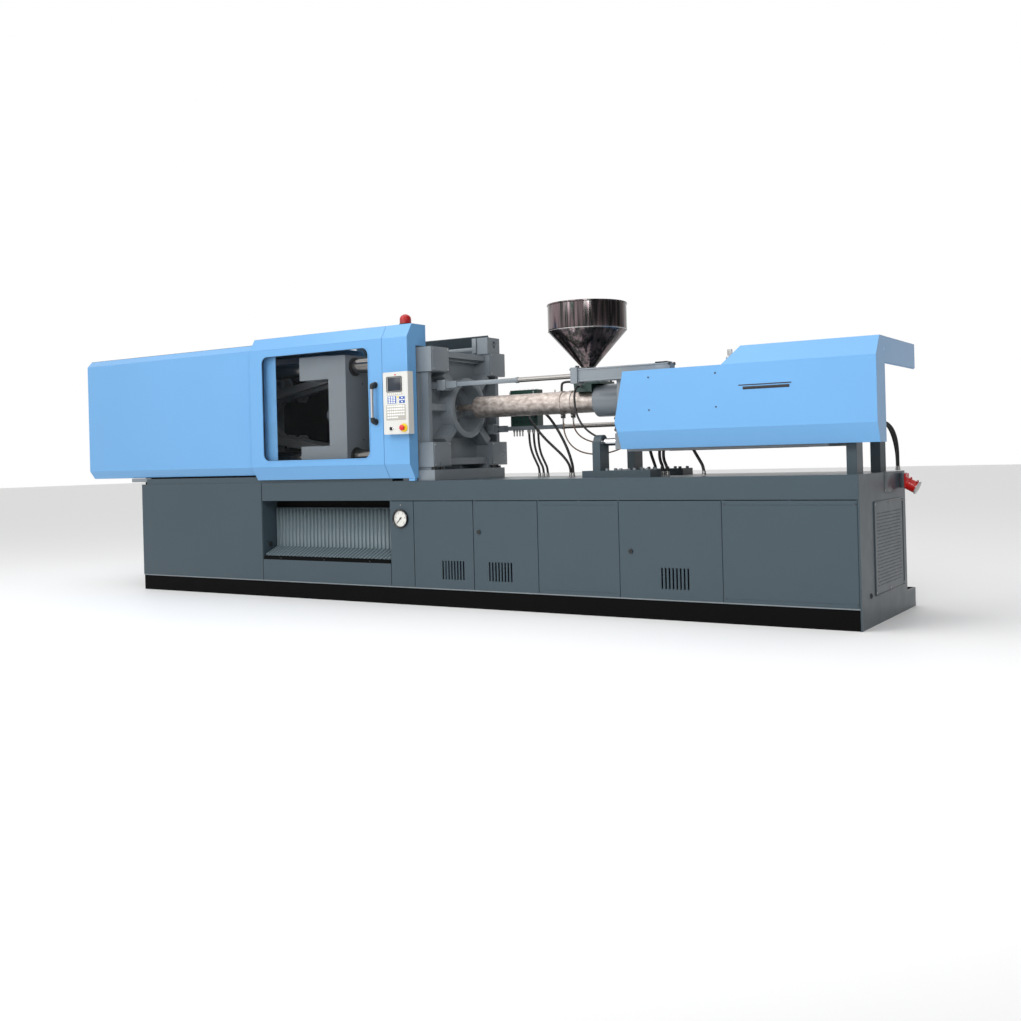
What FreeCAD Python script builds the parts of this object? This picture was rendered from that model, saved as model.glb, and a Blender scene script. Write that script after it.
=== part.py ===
"""Toggle-clamp injection moulding machine, in millimetres.

Frame: the origin is the middle of the bed on the floor, +X runs from the clamp to the injection
unit, +Y from the operator's side to the rear, +Z up. Every size below is a cell of the sheet
"Sizes"; PLACES holds the positions worked out from them.
"""

import FreeCAD, Part
import math
import os
import re

import Sketcher
from FreeCAD import Placement, Rotation, Vector

doc = FreeCAD.newDocument("InjectionMouldingMachine")
sheet = doc.addObject("Spreadsheet::Sheet", "Sizes")

SIZES = {
    # bed
    "bed_length": 6016, "bed_width": 1016, "bed_height": 880, "base_height": 120,
    "rear_foot": 204, "skirt_inset": 8, "base_wall": 15, "base_floor": 12,
    "panel_thick": 4, "panel_low": 128, "seam": 5, "rail_height": 140,
    "deck_thick": 25, "web_thick": 12, "bulkhead_thick": 12, "end_thick": 8,
    "chute_left": -1611, "chute_right": -344, "chute_depth": 155, "chute_sill": 288,
    "drop_left": -1350, "drop_right": -330, "drop_half": 330,
    "corrugated_top": 677, "corrugated_kink": 372, "corrugated_foot": 312,
    "gauge_panel_width": 217, "gauge_offset": 100, "gauge_height": 612, "gauge_radius": 67,
    "gauge_wall": 7, "gauge_proud": 10, "gauge_back": 30, "dial_depth": 7,
    "needle_length": 42, "needle_width": 5, "needle_zero": 135,
    "door_width": 511, "door_3_left": 1500, "door_3_right": 2186,
    "slot_width": 11, "slot_pitch": 25, "slot_length": 129, "slot_low": 193,
    "slots_1": 240, "slots_2": 120, "slots_3": 283,
    "lock_radius": 14, "lock_proud": 9, "lock_inset": 44, "lock_2_height": 525, "lock_3_height": 420,
    "lock_3_inset": 78, "lock_back": 18,
    "grille_front": -221, "grille_rear": 426, "grille_low": 167, "grille_high": 716,
    "grille_thick": 3, "hole_radius": 5, "hole_pitch_y": 27, "hole_pitch_z": 20, "grille_margin": 55,
    # electrical inlet
    "inlet_y": 415, "inlet_z": 822, "inlet_box": 84, "inlet_box_depth": 40, "inlet_radius": 36,
    "inlet_length": 88, "inlet_tilt": 28, "inlet_wall": 5, "flap_thick": 8,
    # clamp
    "axis_height": 1400, "bar_y": 364, "bar_z": 335, "bar_radius": 52.5, "bar_left": -2950,
    "run_clearance": 0.05, "gap": 2,
    "mould_face": -241, "platen_thick": 140, "platen_back": 35, "platen_half_y": 472,
    "platen_half_z": 425, "boss_y": 210, "boss_z": 175, "ring_outer": 220, "ring_inner": 175,
    "block_front": 246, "block_high": 1940,
    "locating_radius": 80, "rib_width": 62, "mould_hole": 8.75, "mould_hole_depth": 60,
    "near_pitch": 280, "far_pitch_y": 560, "far_pitch_z": 420,
    "moving_face": -758, "moving_thick": 170, "moving_boss_left": -1216,
    "pivot_moving": -1160, "pivot_tail": -2069, "toggle_height": 300,
    "rear_link": 250, "front_link": 700, "cross_link": 240, "cross_pin": 170, "cross_height": 80,
    "link_thick": 60, "link_gap": 10, "front_layer": 60, "eye_radius": 54, "knee_radius": 42,
    "link_half": 34, "pin_radius": 30, "cross_eye": 36, "lug_thick": 33,
    "tail_front": -2300, "tail_depth": 400, "cavity_y": 200, "cavity_z": 150, "tail_wall": 60,
    "cylinder_radius": 92, "cylinder_length": 800, "rod_radius": 32, "crosshead_y": 125,
    "crosshead_z": 118, "crosshead_back": 110, "crosshead_thick": 70,
    "ejector_half_y": 150, "ejector_half_z": 60, "ejector_thick": 25, "ejector_left": -1075,
    "ejector_pin_y": 100, "ejector_pin_radius": 14, "ejector_cylinder_radius": 50,
    "ejector_cylinder_left": -1330, "ejector_rod_radius": 18,
    # guarding
    "sheet_thick": 4, "cover_left": -3646, "cover_right": -1401, "cover_half": 537,
    "cover_low": 935, "cover_high": 1955, "cover_chamfer": 48, "cover_foot_chamfer": 65,
    "gate_left": -1626, "gate_right": -317, "gate_front": -587, "gate_depth": 60,
    "gate_low": 900, "gate_high": 1990, "gate_chamfer_low": 1000, "gate_chamfer_high": 1895,
    "gate_return": 44, "window_left": -1501, "window_right": -441, "window_low": 1045,
    "window_high": 1845, "window_radius": 55, "window_frame": 26, "pane_thick": 5,
    "handle_x": -382, "handle_low": 1288, "handle_high": 1585, "handle_reach": 52,
    "handle_radius": 14, "handle_foot": 36,
    "column_right": -88, "column_depth": 218, "column_mid_depth": 98,
    "rear_gate_left": -1500, "rear_gate_right": -150,
    "box_left": -262, "box_right": -42, "box_low": 1210, "box_high": 1645, "box_depth": 60,
    "face_thick": 3, "face_margin": 8,
    "stop_radius": 21, "stop_ring": 29, "stop_x": -83, "stop_z": 1253, "stop_reach": 24,
    "key_x": -196, "key_z": 1250, "key_radius": 11, "key_reach": 14,
    "beacon_x": -196, "beacon_y": -457, "beacon_radius": 46, "beacon_base": 12, "beacon_high": 2070,
    # injection unit
    "barrel_left": 85, "barrel_right": 1400, "barrel_radius": 78, "barrel_bore": 30,
    "nozzle_left": -90, "nozzle_radius": 26, "barrel_round": 26,
    "band_1": 819, "band_2": 900, "band_width": 34, "band_thick": 4,
    "housing_left": 1400, "housing_right": 1490, "housing_half": 300, "housing_low": 1200,
    "housing_high": 1600, "collar_left": 1110, "collar_radius": 111,
    "piston_y": 215, "piston_z": 1400, "piston_radius": 60, "piston_right": 1900,
    "piston_rod": 27, "piston_bore": 48, "drive_left": 1980, "drive_right": 2060,
    "motor_radius": 110, "motor_right": 2340, "screw_left": 110, "injection_stroke": 250,
    "base_low": 1062, "base_slab": 1165, "base_top": 1195, "base_half": 320,
    "block_1_left": 1390, "block_1_right": 1490, "block_2_left": 2460, "block_2_right": 2560,
    "guide_y": 250, "guide_z": 1112, "guide_radius": 25, "guide_left": 1215, "guide_right": 2945,
    "bracket_left": 1215, "bracket_right": 1272, "bracket_rear_left": 2885, "bracket_y": 62,
    "bracket_high": 1160, "bracket_foot_right": 1640, "bracket_foot_high": 925,
    "throat_left": 975, "throat_right": 1170, "throat_half": 110, "throat_high": 1532,
    "throat_radius": 45, "hopper_x": 1030, "hopper_radius": 272, "hopper_wall": 3,
    "hopper_neck": 50, "hopper_neck_high": 1634, "hopper_cone_high": 1885, "hopper_high": 2070,
    "hopper_flange": 95, "hopper_flange_thick": 12,
    "cover_x_right": 3103, "cover_x_step_low": 2180, "cover_x_step_high": 2275, "cover_x_left": 1515,
    "cover_y": 440, "cover_z_low": 1060, "cover_z_bend": 1172, "cover_z_step": 1553,
    "cover_z_high": 1666, "cover_tuck": 53, "cover_shoulder": 81, "cover_end_front": 180,
    "cover_end_top": 150, "cover_notch_x": 1450, "cover_notch_z": 1228, "cover_lip_x": 1468,
    "pull_beyond": 7, "pull_z": 156, "pull_arm_right": 640, "pull_arm_half": 15, "pull_rod": 17,
    "pull_rod_right": 1660, "pull_head_left": 1090, "pull_head_right": 1140, "pull_body_right": 1800,
    "pull_bore": 30, "pull_head_half": 53, "pull_body_half": 39,
    "manifold_left": 190, "manifold_right": 425, "manifold_front": 300, "manifold_rear": 380,
    "manifold_high": 1528, "port_radius": 10, "port_length": 30,
    # drive inside the bed
    "motor_x": 1620, "motor_length": 430, "motor_body": 145, "motor_z": 330, "pump_length": 150,
    "pump_radius": 80,
}

PLACES = {
    "bed_left": "-bed_length / 2", "bed_right": "bed_length / 2",
    "bed_front": "-bed_width / 2", "bed_rear": "bed_width / 2",
    "plate_end": "bed_right - end_thick",
    "rail_low": "bed_height - rail_height",
    "panel_high": "rail_low - seam",
    "panel_back": "bed_front + panel_thick",
    "deck_low": "bed_height - deck_thick",
    "gauge_right": "chute_right + gauge_panel_width",
    "gauge_x": "chute_right + gauge_offset",
    "door_2_left": "gauge_right + door_width", "door_2_right": "door_2_left + door_width",
    "inner_front": "panel_back + 1", "inner_rear": "bed_rear - panel_thick",
    "corrugated_y": "bed_front + chute_depth",
    "gauge_face": "bed_front - gauge_proud",
    "fixed_back": "mould_face + platen_thick",
    "platen_high": "axis_height + platen_half_z", "platen_low": "axis_height - platen_half_z",
    "moving_back": "moving_face - moving_thick",
    "tail_back": "tail_front - tail_depth",
    "span": "pivot_moving - pivot_tail",
    "rear_cos": "(rear_link ^ 2 + span ^ 2 - front_link ^ 2) / (2 * rear_link * span)",
    "front_cos": "(front_link ^ 2 + span ^ 2 - rear_link ^ 2) / (2 * front_link * span)",
    "rear_angle": "acos(rear_cos)", "front_angle": "acos(front_cos)",
    "cross_rise": "toggle_height - cross_pin * sin(rear_angle) - cross_height",
    "cross_angle": "asin(cross_rise / cross_link)",
    "cross_x": "pivot_tail + cross_pin * rear_cos - cross_link * cos(cross_angle)",
    "cross_layer": "front_layer + link_thick + link_gap",
    "rear_layer": "cross_layer + link_thick + link_gap",
    "cylinder_left": "tail_back - cylinder_length",
    "gate_back": "gate_front + gate_depth",
    "box_front": "gate_front - box_depth",
    "pull_y": "housing_half + pull_beyond",
    "pull_near": "-pull_y", "pull_upper": "axis_height + pull_z", "pull_lower": "axis_height - pull_z",
    "pull_arm_left": "platen_back", "manifold_low": "pull_lower + pull_arm_half",
    "door_3_lock": "door_3_left + lock_3_inset", "door_2_lock": "door_2_left + lock_inset",
}

for row, (alias, value) in enumerate(SIZES.items(), start=1):
    sheet.set(f"A{row}", alias)
    sheet.set(f"B{row}", str(value))
    sheet.setAlias(f"B{row}", alias)
doc.recompute()

WORD = re.compile(r"[a-z][a-z_0-9]*")


def spell(text):
    """Expression text with places written out and sizes pointed at the sheet."""
    def swap(match):
        word = match.group(0)
        if word in PLACES:
            return f"({spell(PLACES[word])})"
        return f"Sizes.{word}" if word in SIZES else word
    return WORD.sub(swap, str(text))


def bind(item, prop, text):
    """Tie one property of an object to an expression."""
    item.setExpression(prop, spell(text))


def size(alias):
    """Value of one cell, for the shapes that are built from Part's own functions."""
    return float(sheet.get(alias))


SIDES = (-1, 1)

TURN = {
    "x": Rotation(Vector(0, 1, 0), 90),
    "y": Rotation(Vector(1, 0, 0), -90),
    "z": Rotation(),
}


def box(x, y, z, name="Block"):
    """Box between two expressions on each axis."""
    item = doc.addObject("Part::Box", name)
    sides = (("Length", "x", x), ("Width", "y", y), ("Height", "z", z))
    for prop, axis, (low, high) in sides:
        bind(item, prop, f"({high}) - ({low})")
        bind(item, f"Placement.Base.{axis}", low)
    return item


def rod(axis, centre, span, radius, name="Round"):
    """Cylinder along an axis: centre is (x, y, z) with None on that axis, span its two ends."""
    item = doc.addObject("Part::Cylinder", name)
    item.Placement = Placement(Vector(), TURN[axis])
    bind(item, "Radius", radius)
    bind(item, "Height", f"({span[1]}) - ({span[0]})")
    for letter, place in zip("xyz", centre):
        bind(item, f"Placement.Base.{letter}", span[0] if place is None else place)
    return item


def fuse(label, *items):
    """One solid from several."""
    item = doc.addObject("Part::MultiFuse", "Joined")
    item.Shapes = list(items)
    item.Refine = True
    item.Label = label
    return item


def cut(label, base, *tools):
    """The base with the tools taken away."""
    tool = tools[0] if len(tools) == 1 else fuse(label + " tools", *tools)
    item = doc.addObject("Part::Cut", "Trimmed")
    item.Base = base
    item.Tool = tool
    item.Refine = True
    item.Label = label
    return item


def group(label, *items):
    """Separate solids that share one node."""
    item = doc.addObject("Part::Compound", "Group")
    item.Links = list(items)
    item.Label = label
    return item


PLANE = {"xy": "XY_Plane", "xz": "XZ_Plane", "yz": "YZ_Plane"}


def attached_sketch(body, plane, start):
    """Sketch of a body on one of its origin planes, moved along the plane's axis to start."""
    sketch = body.newObject("Sketcher::SketchObject", "Sketch")
    role = PLANE[plane]
    support = [item for item in body.Origin.OriginFeatures if item.Role == role][0]
    sketch.AttachmentSupport = [(support, "")]
    sketch.MapMode = "FlatFace"
    sign = "-" if plane == "xz" else ""
    bind(sketch, "AttachmentOffset.Base.z", f"{sign}({start})")
    return sketch


def pin_point(sketch, geometry, point, place):
    """Fix a sketch point from the origin with two bound distances."""
    for kind, text in zip(("DistanceX", "DistanceY"), place):
        index = sketch.addConstraint(Sketcher.Constraint(kind, -1, 1, geometry, point, 1.0))
        bind(sketch, f"Constraints[{index}]", text)


def number(text):
    """Value of an expression on the sheet's cells."""
    probe = doc.getObject("Probe") or doc.addObject("App::FeaturePython", "Probe")
    if "Value" not in probe.PropertiesList:
        probe.addProperty("App::PropertyFloat", "Value")
    bind(probe, "Value", text)
    probe.recompute()
    return probe.Value


def draw_outline(sketch, points):
    """Closed polygon whose corners are expressions."""
    corners = [Vector(number(x), number(y), 0) for x, y in points]
    count = len(corners)
    for index in range(count):
        sketch.addGeometry(Part.LineSegment(corners[index], corners[(index + 1) % count]), False)
    for index in range(count):
        sketch.addConstraint(
            Sketcher.Constraint("Coincident", index, 2, (index + 1) % count, 1))
    for index, place in enumerate(points):
        pin_point(sketch, index, 1, place)


def plate(label, plane, points, start, depth):
    """Body padded from an outline at start, in the plane's positive direction."""
    body = doc.addObject("PartDesign::Body", "Body")
    body.Label = label
    sketch = attached_sketch(body, plane, start)
    draw_outline(sketch, points)
    pad = body.newObject("PartDesign::Pad", "Pad")
    pad.Profile = sketch
    pad.Reversed = plane == "xz"
    bind(pad, "Length", depth)
    doc.recompute()
    return body


def pocket(body, plane, points, start, depth):
    """Outline cut into a body from start, in the plane's positive direction."""
    sketch = attached_sketch(body, plane, start)
    draw_outline(sketch, points)
    hole = body.newObject("PartDesign::Pocket", "Pocket")
    hole.Profile = sketch
    hole.Reversed = plane != "xz"
    bind(hole, "Length", depth)
    doc.recompute()
    return hole


def rectangle(left, right, low, high):
    """Outline of a rectangle."""
    return [(left, low), (right, low), (right, high), (left, high)]


def rounded_slab(left, right, low, high, y, radius):
    """Slab in the XZ plane with four round corners, as a joined solid."""
    inner = (f"{left} + {radius}", f"{right} - {radius}", f"{low} + {radius}", f"{high} - {radius}")
    parts = [box((left, right), y, (inner[2], inner[3])), box((inner[0], inner[1]), y, (low, high))]
    for x in inner[:2]:
        for z in inner[2:]:
            parts.append(rod("y", (x, None, z), y, radius))
    return fuse("Rounded slab", *parts)


# ---------------------------------------------------------------- bed

def base_frame():
    """Black welded base: an oil tray under the bed and an open drip gutter along the rear."""
    outer = box(("bed_left", "plate_end"), ("bed_front + skirt_inset", "bed_rear + rear_foot"),
                (0, "base_height"))
    tray = box(("bed_left + base_wall", "plate_end - base_wall"),
               ("bed_front + skirt_inset + base_wall", "bed_rear - base_wall"),
               ("base_floor", "base_height + 1"))
    gutter = box(("bed_left + base_wall", "plate_end - base_wall"),
                 ("bed_rear", "bed_rear + rear_foot - base_wall"),
                 ("base_floor", "base_height + 1"))
    return cut("base_frame", outer, tray, gutter)


def guide_pedestal(left, right, side):
    """Pedestal of one guide rod, up from the deck, with the hole that holds the rod."""
    y = f"{side} * guide_y"
    post = box((left, right), (f"{y} - bracket_y", f"{y} + bracket_y"),
               ("bed_height", "guide_z"))
    crown = rod("x", (None, y, "guide_z"), (left, right), "bracket_y * 0.78")
    return [post, crown]


def bed_top_frame():
    """Top of the bed: deck plates round the drop opening, webs, rails and guide-rod pedestals."""
    across = ("inner_front", "inner_rear")
    deck = ("deck_low", "bed_height")
    plates = [
        box(("bed_left + panel_thick", "drop_left"), across, deck),
        box(("drop_right", "plate_end"), across, deck),
        box(("drop_left", "drop_right"), ("inner_front", "-drop_half"), deck),
        box(("drop_left", "drop_right"), ("drop_half", "inner_rear"), deck),
        box(("chute_left", "plate_end"), ("inner_front", "inner_front + web_thick"),
            ("rail_low", "deck_low")),
        box(("bed_left + panel_thick", "plate_end"), ("inner_rear - web_thick", "inner_rear"),
            ("rail_low", "deck_low")),
        box(("chute_left", "plate_end"), ("bed_front + 2", "inner_front"), ("rail_low", "bed_height")),
    ]
    rails = [box(("-2950", "gate_right"), (low, high), ("bed_height", "cover_low - 10"))
             for low, high in (("-cover_half + 34", "-cover_half + 60"),
                               ("cover_half - 60", "cover_half - 34"))]
    pedestals = []
    for side in SIDES:
        y = f"{side} * guide_y"
        foot = box(("bracket_left - 70", "bracket_foot_right"), (f"{y} - bracket_y - 20", f"{y} + bracket_y + 20"),
                   ("bed_height", "bracket_foot_high"))
        front = fuse("Front pedestal", foot, *guide_pedestal("bracket_left", "bracket_right", side))
        rear = fuse("Rear pedestal", *guide_pedestal("bracket_rear_left", "guide_right", side))
        for post in (front, rear):
            bore = rod("x", (None, y, "guide_z"), ("bracket_left - 1", "guide_right + 1"), "guide_radius")
            pedestals.append(cut("Pedestal", post, bore))
    return group("bed_top_frame", *plates, *rails, *pedestals)


BULKHEADS = ("bed_left + panel_thick", "-2550", "-2080", "chute_left - bulkhead_thick",
             "chute_right", "130", "door_2_left + 4", "door_2_right", "1200",
             "door_3_left - bulkhead_thick", "door_3_right", "2600", "plate_end - bulkhead_thick")


def bed_bulkheads():
    """Cross walls of the bed, each with a service opening."""
    walls = []
    for left in BULKHEADS:
        right = f"{left} + bulkhead_thick"
        wall = box((left, right), ("inner_front", "inner_rear"), ("base_height", "deck_low"))
        opening = box((f"{left} - 1", f"{right} + 1"), ("-280", "280"), ("200", "680"))
        notch = box((f"{left} - 1", f"{right} + 1"), ("inner_front - 1", "inner_front + web_thick"),
                    ("rail_low", "deck_low + 1"))
        rear_notch = box((f"{left} - 1", f"{right} + 1"), ("inner_rear - web_thick", "inner_rear + 1"),
                         ("rail_low", "deck_low + 1"))
        closed = left in (BULKHEADS[3], BULKHEADS[4])
        tools = [notch, rear_notch] if closed else [notch, rear_notch, opening]
        walls.append(cut("Bulkhead", wall, *tools))
    return group("bed_bulkheads", *walls)


def front_sheet(left, right, low="panel_low", high="panel_high"):
    """Flat sheet on the operator's side."""
    return box((left, right), ("bed_front", "panel_back"), (low, high))


def side_panels():
    """Fixed cladding of the bed: front, left end and rear sheets."""
    gauge = cut("Gauge panel", front_sheet("chute_right + seam", "gauge_right - seam"),
                rod("y", ("gauge_x", None, "gauge_height"), ("bed_front - 1", "panel_back + 1"),
                    "gauge_radius - gauge_wall"))
    sheets = [
        front_sheet("bed_left", "chute_left - seam", high="bed_height"),
        front_sheet("chute_left", "chute_right", high="chute_sill"),
        gauge,
        front_sheet("door_2_right + seam", "door_3_left - seam"),
        front_sheet("door_3_right + seam", "plate_end - seam"),
        box(("bed_left", "bed_left + panel_thick"), ("panel_back", "inner_rear"),
            ("panel_low", "bed_height")),
    ]
    rear_edges = ("bed_left", "-1800", "-600", "600", "1800", "plate_end")
    for left, right in zip(rear_edges, rear_edges[1:]):
        sheets.append(box((f"{left} + 2", f"{right} - 3"), ("inner_rear", "bed_rear"),
                          ("panel_low", "bed_height")))
    return group("side_panels", *sheets)


def chute_plate():
    """Sheet behind the front recess: upright above, folded forward below to the sill."""
    back = "corrugated_y"
    front = "bed_front + 22"
    outline = [(back, "corrugated_top"), (back, "corrugated_kink"), (front, "corrugated_foot"),
               (front, "corrugated_foot - 4"), (f"{back} + 4", "corrugated_kink - 2"),
               (f"{back} + 4", "corrugated_top")]
    return plate("chute_plate", "yz", outline, "chute_left + 1", "chute_right - chute_left - 2")


def pressure_gauge():
    """Case and bezel of the hydraulic pressure gauge, with the dial at the bottom of its recess."""
    centre = ("gauge_x", None, "gauge_height")
    bezel = rod("y", centre, ("gauge_face", "bed_front"), "gauge_radius")
    case = rod("y", centre, ("bed_front", "bed_front + gauge_back"), "gauge_radius - gauge_wall")
    recess = rod("y", centre, ("gauge_face - 1", "gauge_face + dial_depth"),
                 "gauge_radius - gauge_wall")
    pivot = rod("y", centre, ("gauge_face + dial_depth - 1", "gauge_face + dial_depth + 6"), "3")
    stem = rod("y", centre, ("bed_front + gauge_back", "bed_front + gauge_back + 25"), "9")
    return cut("pressure_gauge", fuse("Gauge body", bezel, case, stem), recess, pivot)


def gauge_needle():
    """Pointer on its spindle, at the zero of the dial, lower left of the middle."""
    low, high = "gauge_face + dial_depth - 4", "gauge_face + dial_depth - 3"
    centre = (0, None, 0)
    hub = rod("y", centre, (low, "gauge_face + dial_depth + 5"), "3 - run_clearance")
    cap = rod("y", centre, (f"{low} - 1", high), "6")
    blade = box((-12, "needle_length"), (low, high), ("-needle_width / 2", "needle_width / 2"))
    item = fuse("gauge_needle", hub, cap, blade)
    item.Placement = Placement(Vector(), Rotation(Vector(0, 1, 0), 135))
    bind(item, "Placement.Rotation.Angle", "needle_zero")
    bind(item, "Placement.Base.x", "gauge_x")
    bind(item, "Placement.Base.z", "gauge_height")
    return item


def door(label, left, right, slots, lock=None):
    """Sheet door with eight upright louvre slots and, on the locked ones, the lock's hole."""
    body = plate(label, "xz", rectangle(left, right, "panel_low", "panel_high"), "bed_front",
                 "panel_thick")
    slot = pocket(body, "xz", rectangle(slots, f"{slots} + slot_width", "slot_low",
                                        "slot_low + slot_length"), "bed_front", "panel_thick")
    pattern = body.newObject("PartDesign::LinearPattern", "Louvre")
    pattern.Originals = [slot]
    pattern.Direction = (slot.Profile[0], ["H_Axis"])
    pattern.Occurrences = 8
    bind(pattern, "Length", "7 * slot_pitch")
    body.Tip = pattern
    doc.recompute()
    if lock:
        x, height = lock
        sketch = attached_sketch(body, "xz", "bed_front")
        circle = sketch.addGeometry(Part.Circle(Vector(number(x), number(height), 0),
                                                Vector(0, 0, 1), 9))
        pin_point(sketch, circle, 3, (x, height))
        index = sketch.addConstraint(Sketcher.Constraint("Radius", circle, 9))
        bind(sketch, f"Constraints[{index}]", "lock_radius * 0.6")
        hole = body.newObject("PartDesign::Pocket", "LockHole")
        hole.Profile = sketch
        bind(hole, "Length", "panel_thick")
        doc.recompute()
    return body


def door_lock(label, x, height):
    """Turning lock barrel of a door: flanged head outside, stem and nut inside."""
    centre = (x, None, height)
    head = rod("y", centre, ("bed_front - lock_proud", "bed_front - 0.4"), "lock_radius")
    slot = box((f"{x} - 1.5", f"{x} + 1.5"), ("bed_front - lock_proud - 1", "bed_front - lock_proud + 3"),
               (f"{height} - 9", f"{height} + 9"))
    stem = rod("y", centre, ("bed_front - 0.4", "panel_back + lock_back"),
               "lock_radius * 0.6 - run_clearance")
    return cut(label, fuse("Lock", head, stem), slot)


def end_panel():
    """Right end wall, down to the floor, with a foot that closes the rear gutter."""
    outline = [("bed_front", 0), ("bed_rear + rear_foot", 0),
               ("bed_rear + rear_foot", "base_height"), ("bed_rear", "base_height"),
               ("bed_rear", "bed_height"), ("bed_front", "bed_height")]
    return plate("end_panel", "yz", outline, "plate_end", "end_thick")


def end_grille():
    """Perforated cover plate on the right end wall: staggered rows of round holes."""
    x0 = size("bed_length") / 2
    front, rear = size("grille_front"), size("grille_rear")
    low, high = size("grille_low"), size("grille_high")
    margin, radius = size("grille_margin"), size("hole_radius")
    pitch_y, pitch_z = size("hole_pitch_y"), size("hole_pitch_z")
    corners = [Vector(x0, y, z) for y, z in ((front, low), (rear, low), (rear, high), (front, high))]
    wires = [Part.makePolygon(corners + corners[:1])]
    rows = int((high - low - 2 * margin) / pitch_z) + 1
    columns = int((rear - front - 2 * margin - pitch_y / 2) / pitch_y) + 1
    for row in range(rows):
        shift = pitch_y / 2 if row % 2 else 0
        for column in range(columns):
            place = Vector(x0, front + margin + shift + column * pitch_y, low + margin + row * pitch_z)
            circle = Part.Circle(place, Vector(1, 0, 0), radius)
            wires.append(Part.Wire(circle.toShape()))
    face = Part.makeFace(wires, "Part::FaceMakerBullseye")
    item = doc.addObject("Part::Feature", "Perforated")
    item.Shape = face.extrude(Vector(size("grille_thick"), 0, 0))
    item.Label = "end_grille"
    return item


def power_socket():
    """Surface inlet on the end wall: square box and a round shrouded socket tilted down."""
    y, z = "inlet_y", "inlet_z"
    case = box(("bed_right", "bed_right + inlet_box_depth"), (f"{y} - inlet_box / 2", f"{y} + inlet_box / 2"),
               (f"{z} - inlet_box / 2", f"{z} + inlet_box / 2"))
    shroud = doc.addObject("Part::Cylinder", "Shroud")
    bore = doc.addObject("Part::Cylinder", "ShroudBore")
    for item, radius, start in ((shroud, "inlet_radius", "0"), (bore, "inlet_radius - inlet_wall", "20")):
        item.Placement = Placement(Vector(), Rotation(Vector(0, 1, 0), 118))
        bind(item, "Radius", radius)
        bind(item, "Height", "inlet_length")
        bind(item, "Placement.Rotation.Angle", "90 + inlet_tilt")
        reach = f"(inlet_box_depth * 0.45 + {start})"
        bind(item, "Placement.Base.x", f"bed_right + {reach} * cos(inlet_tilt * 1 deg)")
        bind(item, "Placement.Base.y", y)
        bind(item, "Placement.Base.z", f"{z} - {reach} * sin(inlet_tilt * 1 deg)")
    wall = box(("bed_right - 20", "bed_right"), (f"{y} - inlet_box", f"{y} + inlet_box"),
               (f"{z} - inlet_box", f"{z} + inlet_box"))
    return cut("power_socket", fuse("Inlet", case, shroud), bore, wall)


def socket_flap():
    """Sprung lid over the inlet's mouth, hinged along its top."""
    item = doc.addObject("Part::Cylinder", "Flap")
    item.Placement = Placement(Vector(), Rotation(Vector(0, 1, 0), 118))
    bind(item, "Radius", "inlet_radius + 4")
    bind(item, "Height", "flap_thick")
    bind(item, "Placement.Rotation.Angle", "90 + inlet_tilt")
    reach = "(inlet_box_depth * 0.45 + inlet_length + 0.4)"
    bind(item, "Placement.Base.x", f"bed_right + {reach} * cos(inlet_tilt * 1 deg)")
    bind(item, "Placement.Base.y", "inlet_y")
    bind(item, "Placement.Base.z", f"inlet_z - {reach} * sin(inlet_tilt * 1 deg)")
    item.Label = "socket_flap"
    return item


def pump_motor():
    """Electric motor with the hydraulic pump on its shaft end, on a foot on the tray floor."""
    body = rod("x", (None, 0, "motor_z"), ("motor_x", "motor_x + motor_length"), "motor_body")
    pump = rod("x", (None, 0, "motor_z"), ("motor_x - pump_length", "motor_x"), "pump_radius")
    foot = box(("motor_x + 40", "motor_x + motor_length - 40"), ("-motor_body", "motor_body"),
               ("base_floor", "motor_z - motor_body * 0.6"))
    return fuse("pump_motor", body, pump, foot)


# ---------------------------------------------------------------- clamp

def bar_holes(left, right, radius):
    """The four tie-bar holes of a platen."""
    return [rod("x", (None, f"{y} * bar_y", f"axis_height + {z} * bar_z"), (left, right), radius)
            for y in SIDES for z in SIDES]


def corner_bosses(left, right, low="platen_low", high="platen_high"):
    """Four square bosses round the tie bars."""
    bosses = []
    for y in SIDES:
        inner = "platen_half_y - boss_y" if y > 0 else "-platen_half_y"
        outer = "platen_half_y" if y > 0 else "-platen_half_y + boss_y"
        bosses.append(box((left, right), (inner, outer), (f"{high} - boss_z", high)))
        bosses.append(box((left, right), (inner, outer), (low, f"{low} + boss_z")))
    return bosses


def rib(angle, left, right, inner, outer):
    """Rib from the ring outwards, turned about the machine's axis."""
    item = doc.addObject("Part::Box", "Rib")
    item.Placement = Placement(Vector(), Rotation(Vector(1, 0, 0), angle))
    bind(item, "Length", f"({right}) - ({left})")
    bind(item, "Width", f"({outer}) - ({inner})")
    bind(item, "Height", "rib_width")
    c, s = math.cos(math.radians(angle)), math.sin(math.radians(angle))
    bind(item, "Placement.Base.x", left)
    bind(item, "Placement.Base.y", f"({inner}) * {c:.6f} + rib_width / 2 * {s:.6f}")
    bind(item, "Placement.Base.z", f"axis_height + ({inner}) * {s:.6f} - rib_width / 2 * {c:.6f}")
    return item


def mould_holes(face, direction):
    """Threaded holes for the mould clamps: an inner and an outer rectangle of four."""
    holes = []
    end = f"{face} + {direction} * mould_hole_depth"
    span = (face, end) if direction > 0 else (end, face)
    for pitch_y, pitch_z in (("near_pitch", "near_pitch"), ("far_pitch_y", "far_pitch_z")):
        for y in SIDES:
            for z in SIDES:
                holes.append(rod("x", (None, f"{y} * {pitch_y} / 2", f"axis_height + {z} * {pitch_z} / 2"),
                                 span, "mould_hole"))
    return holes


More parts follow.
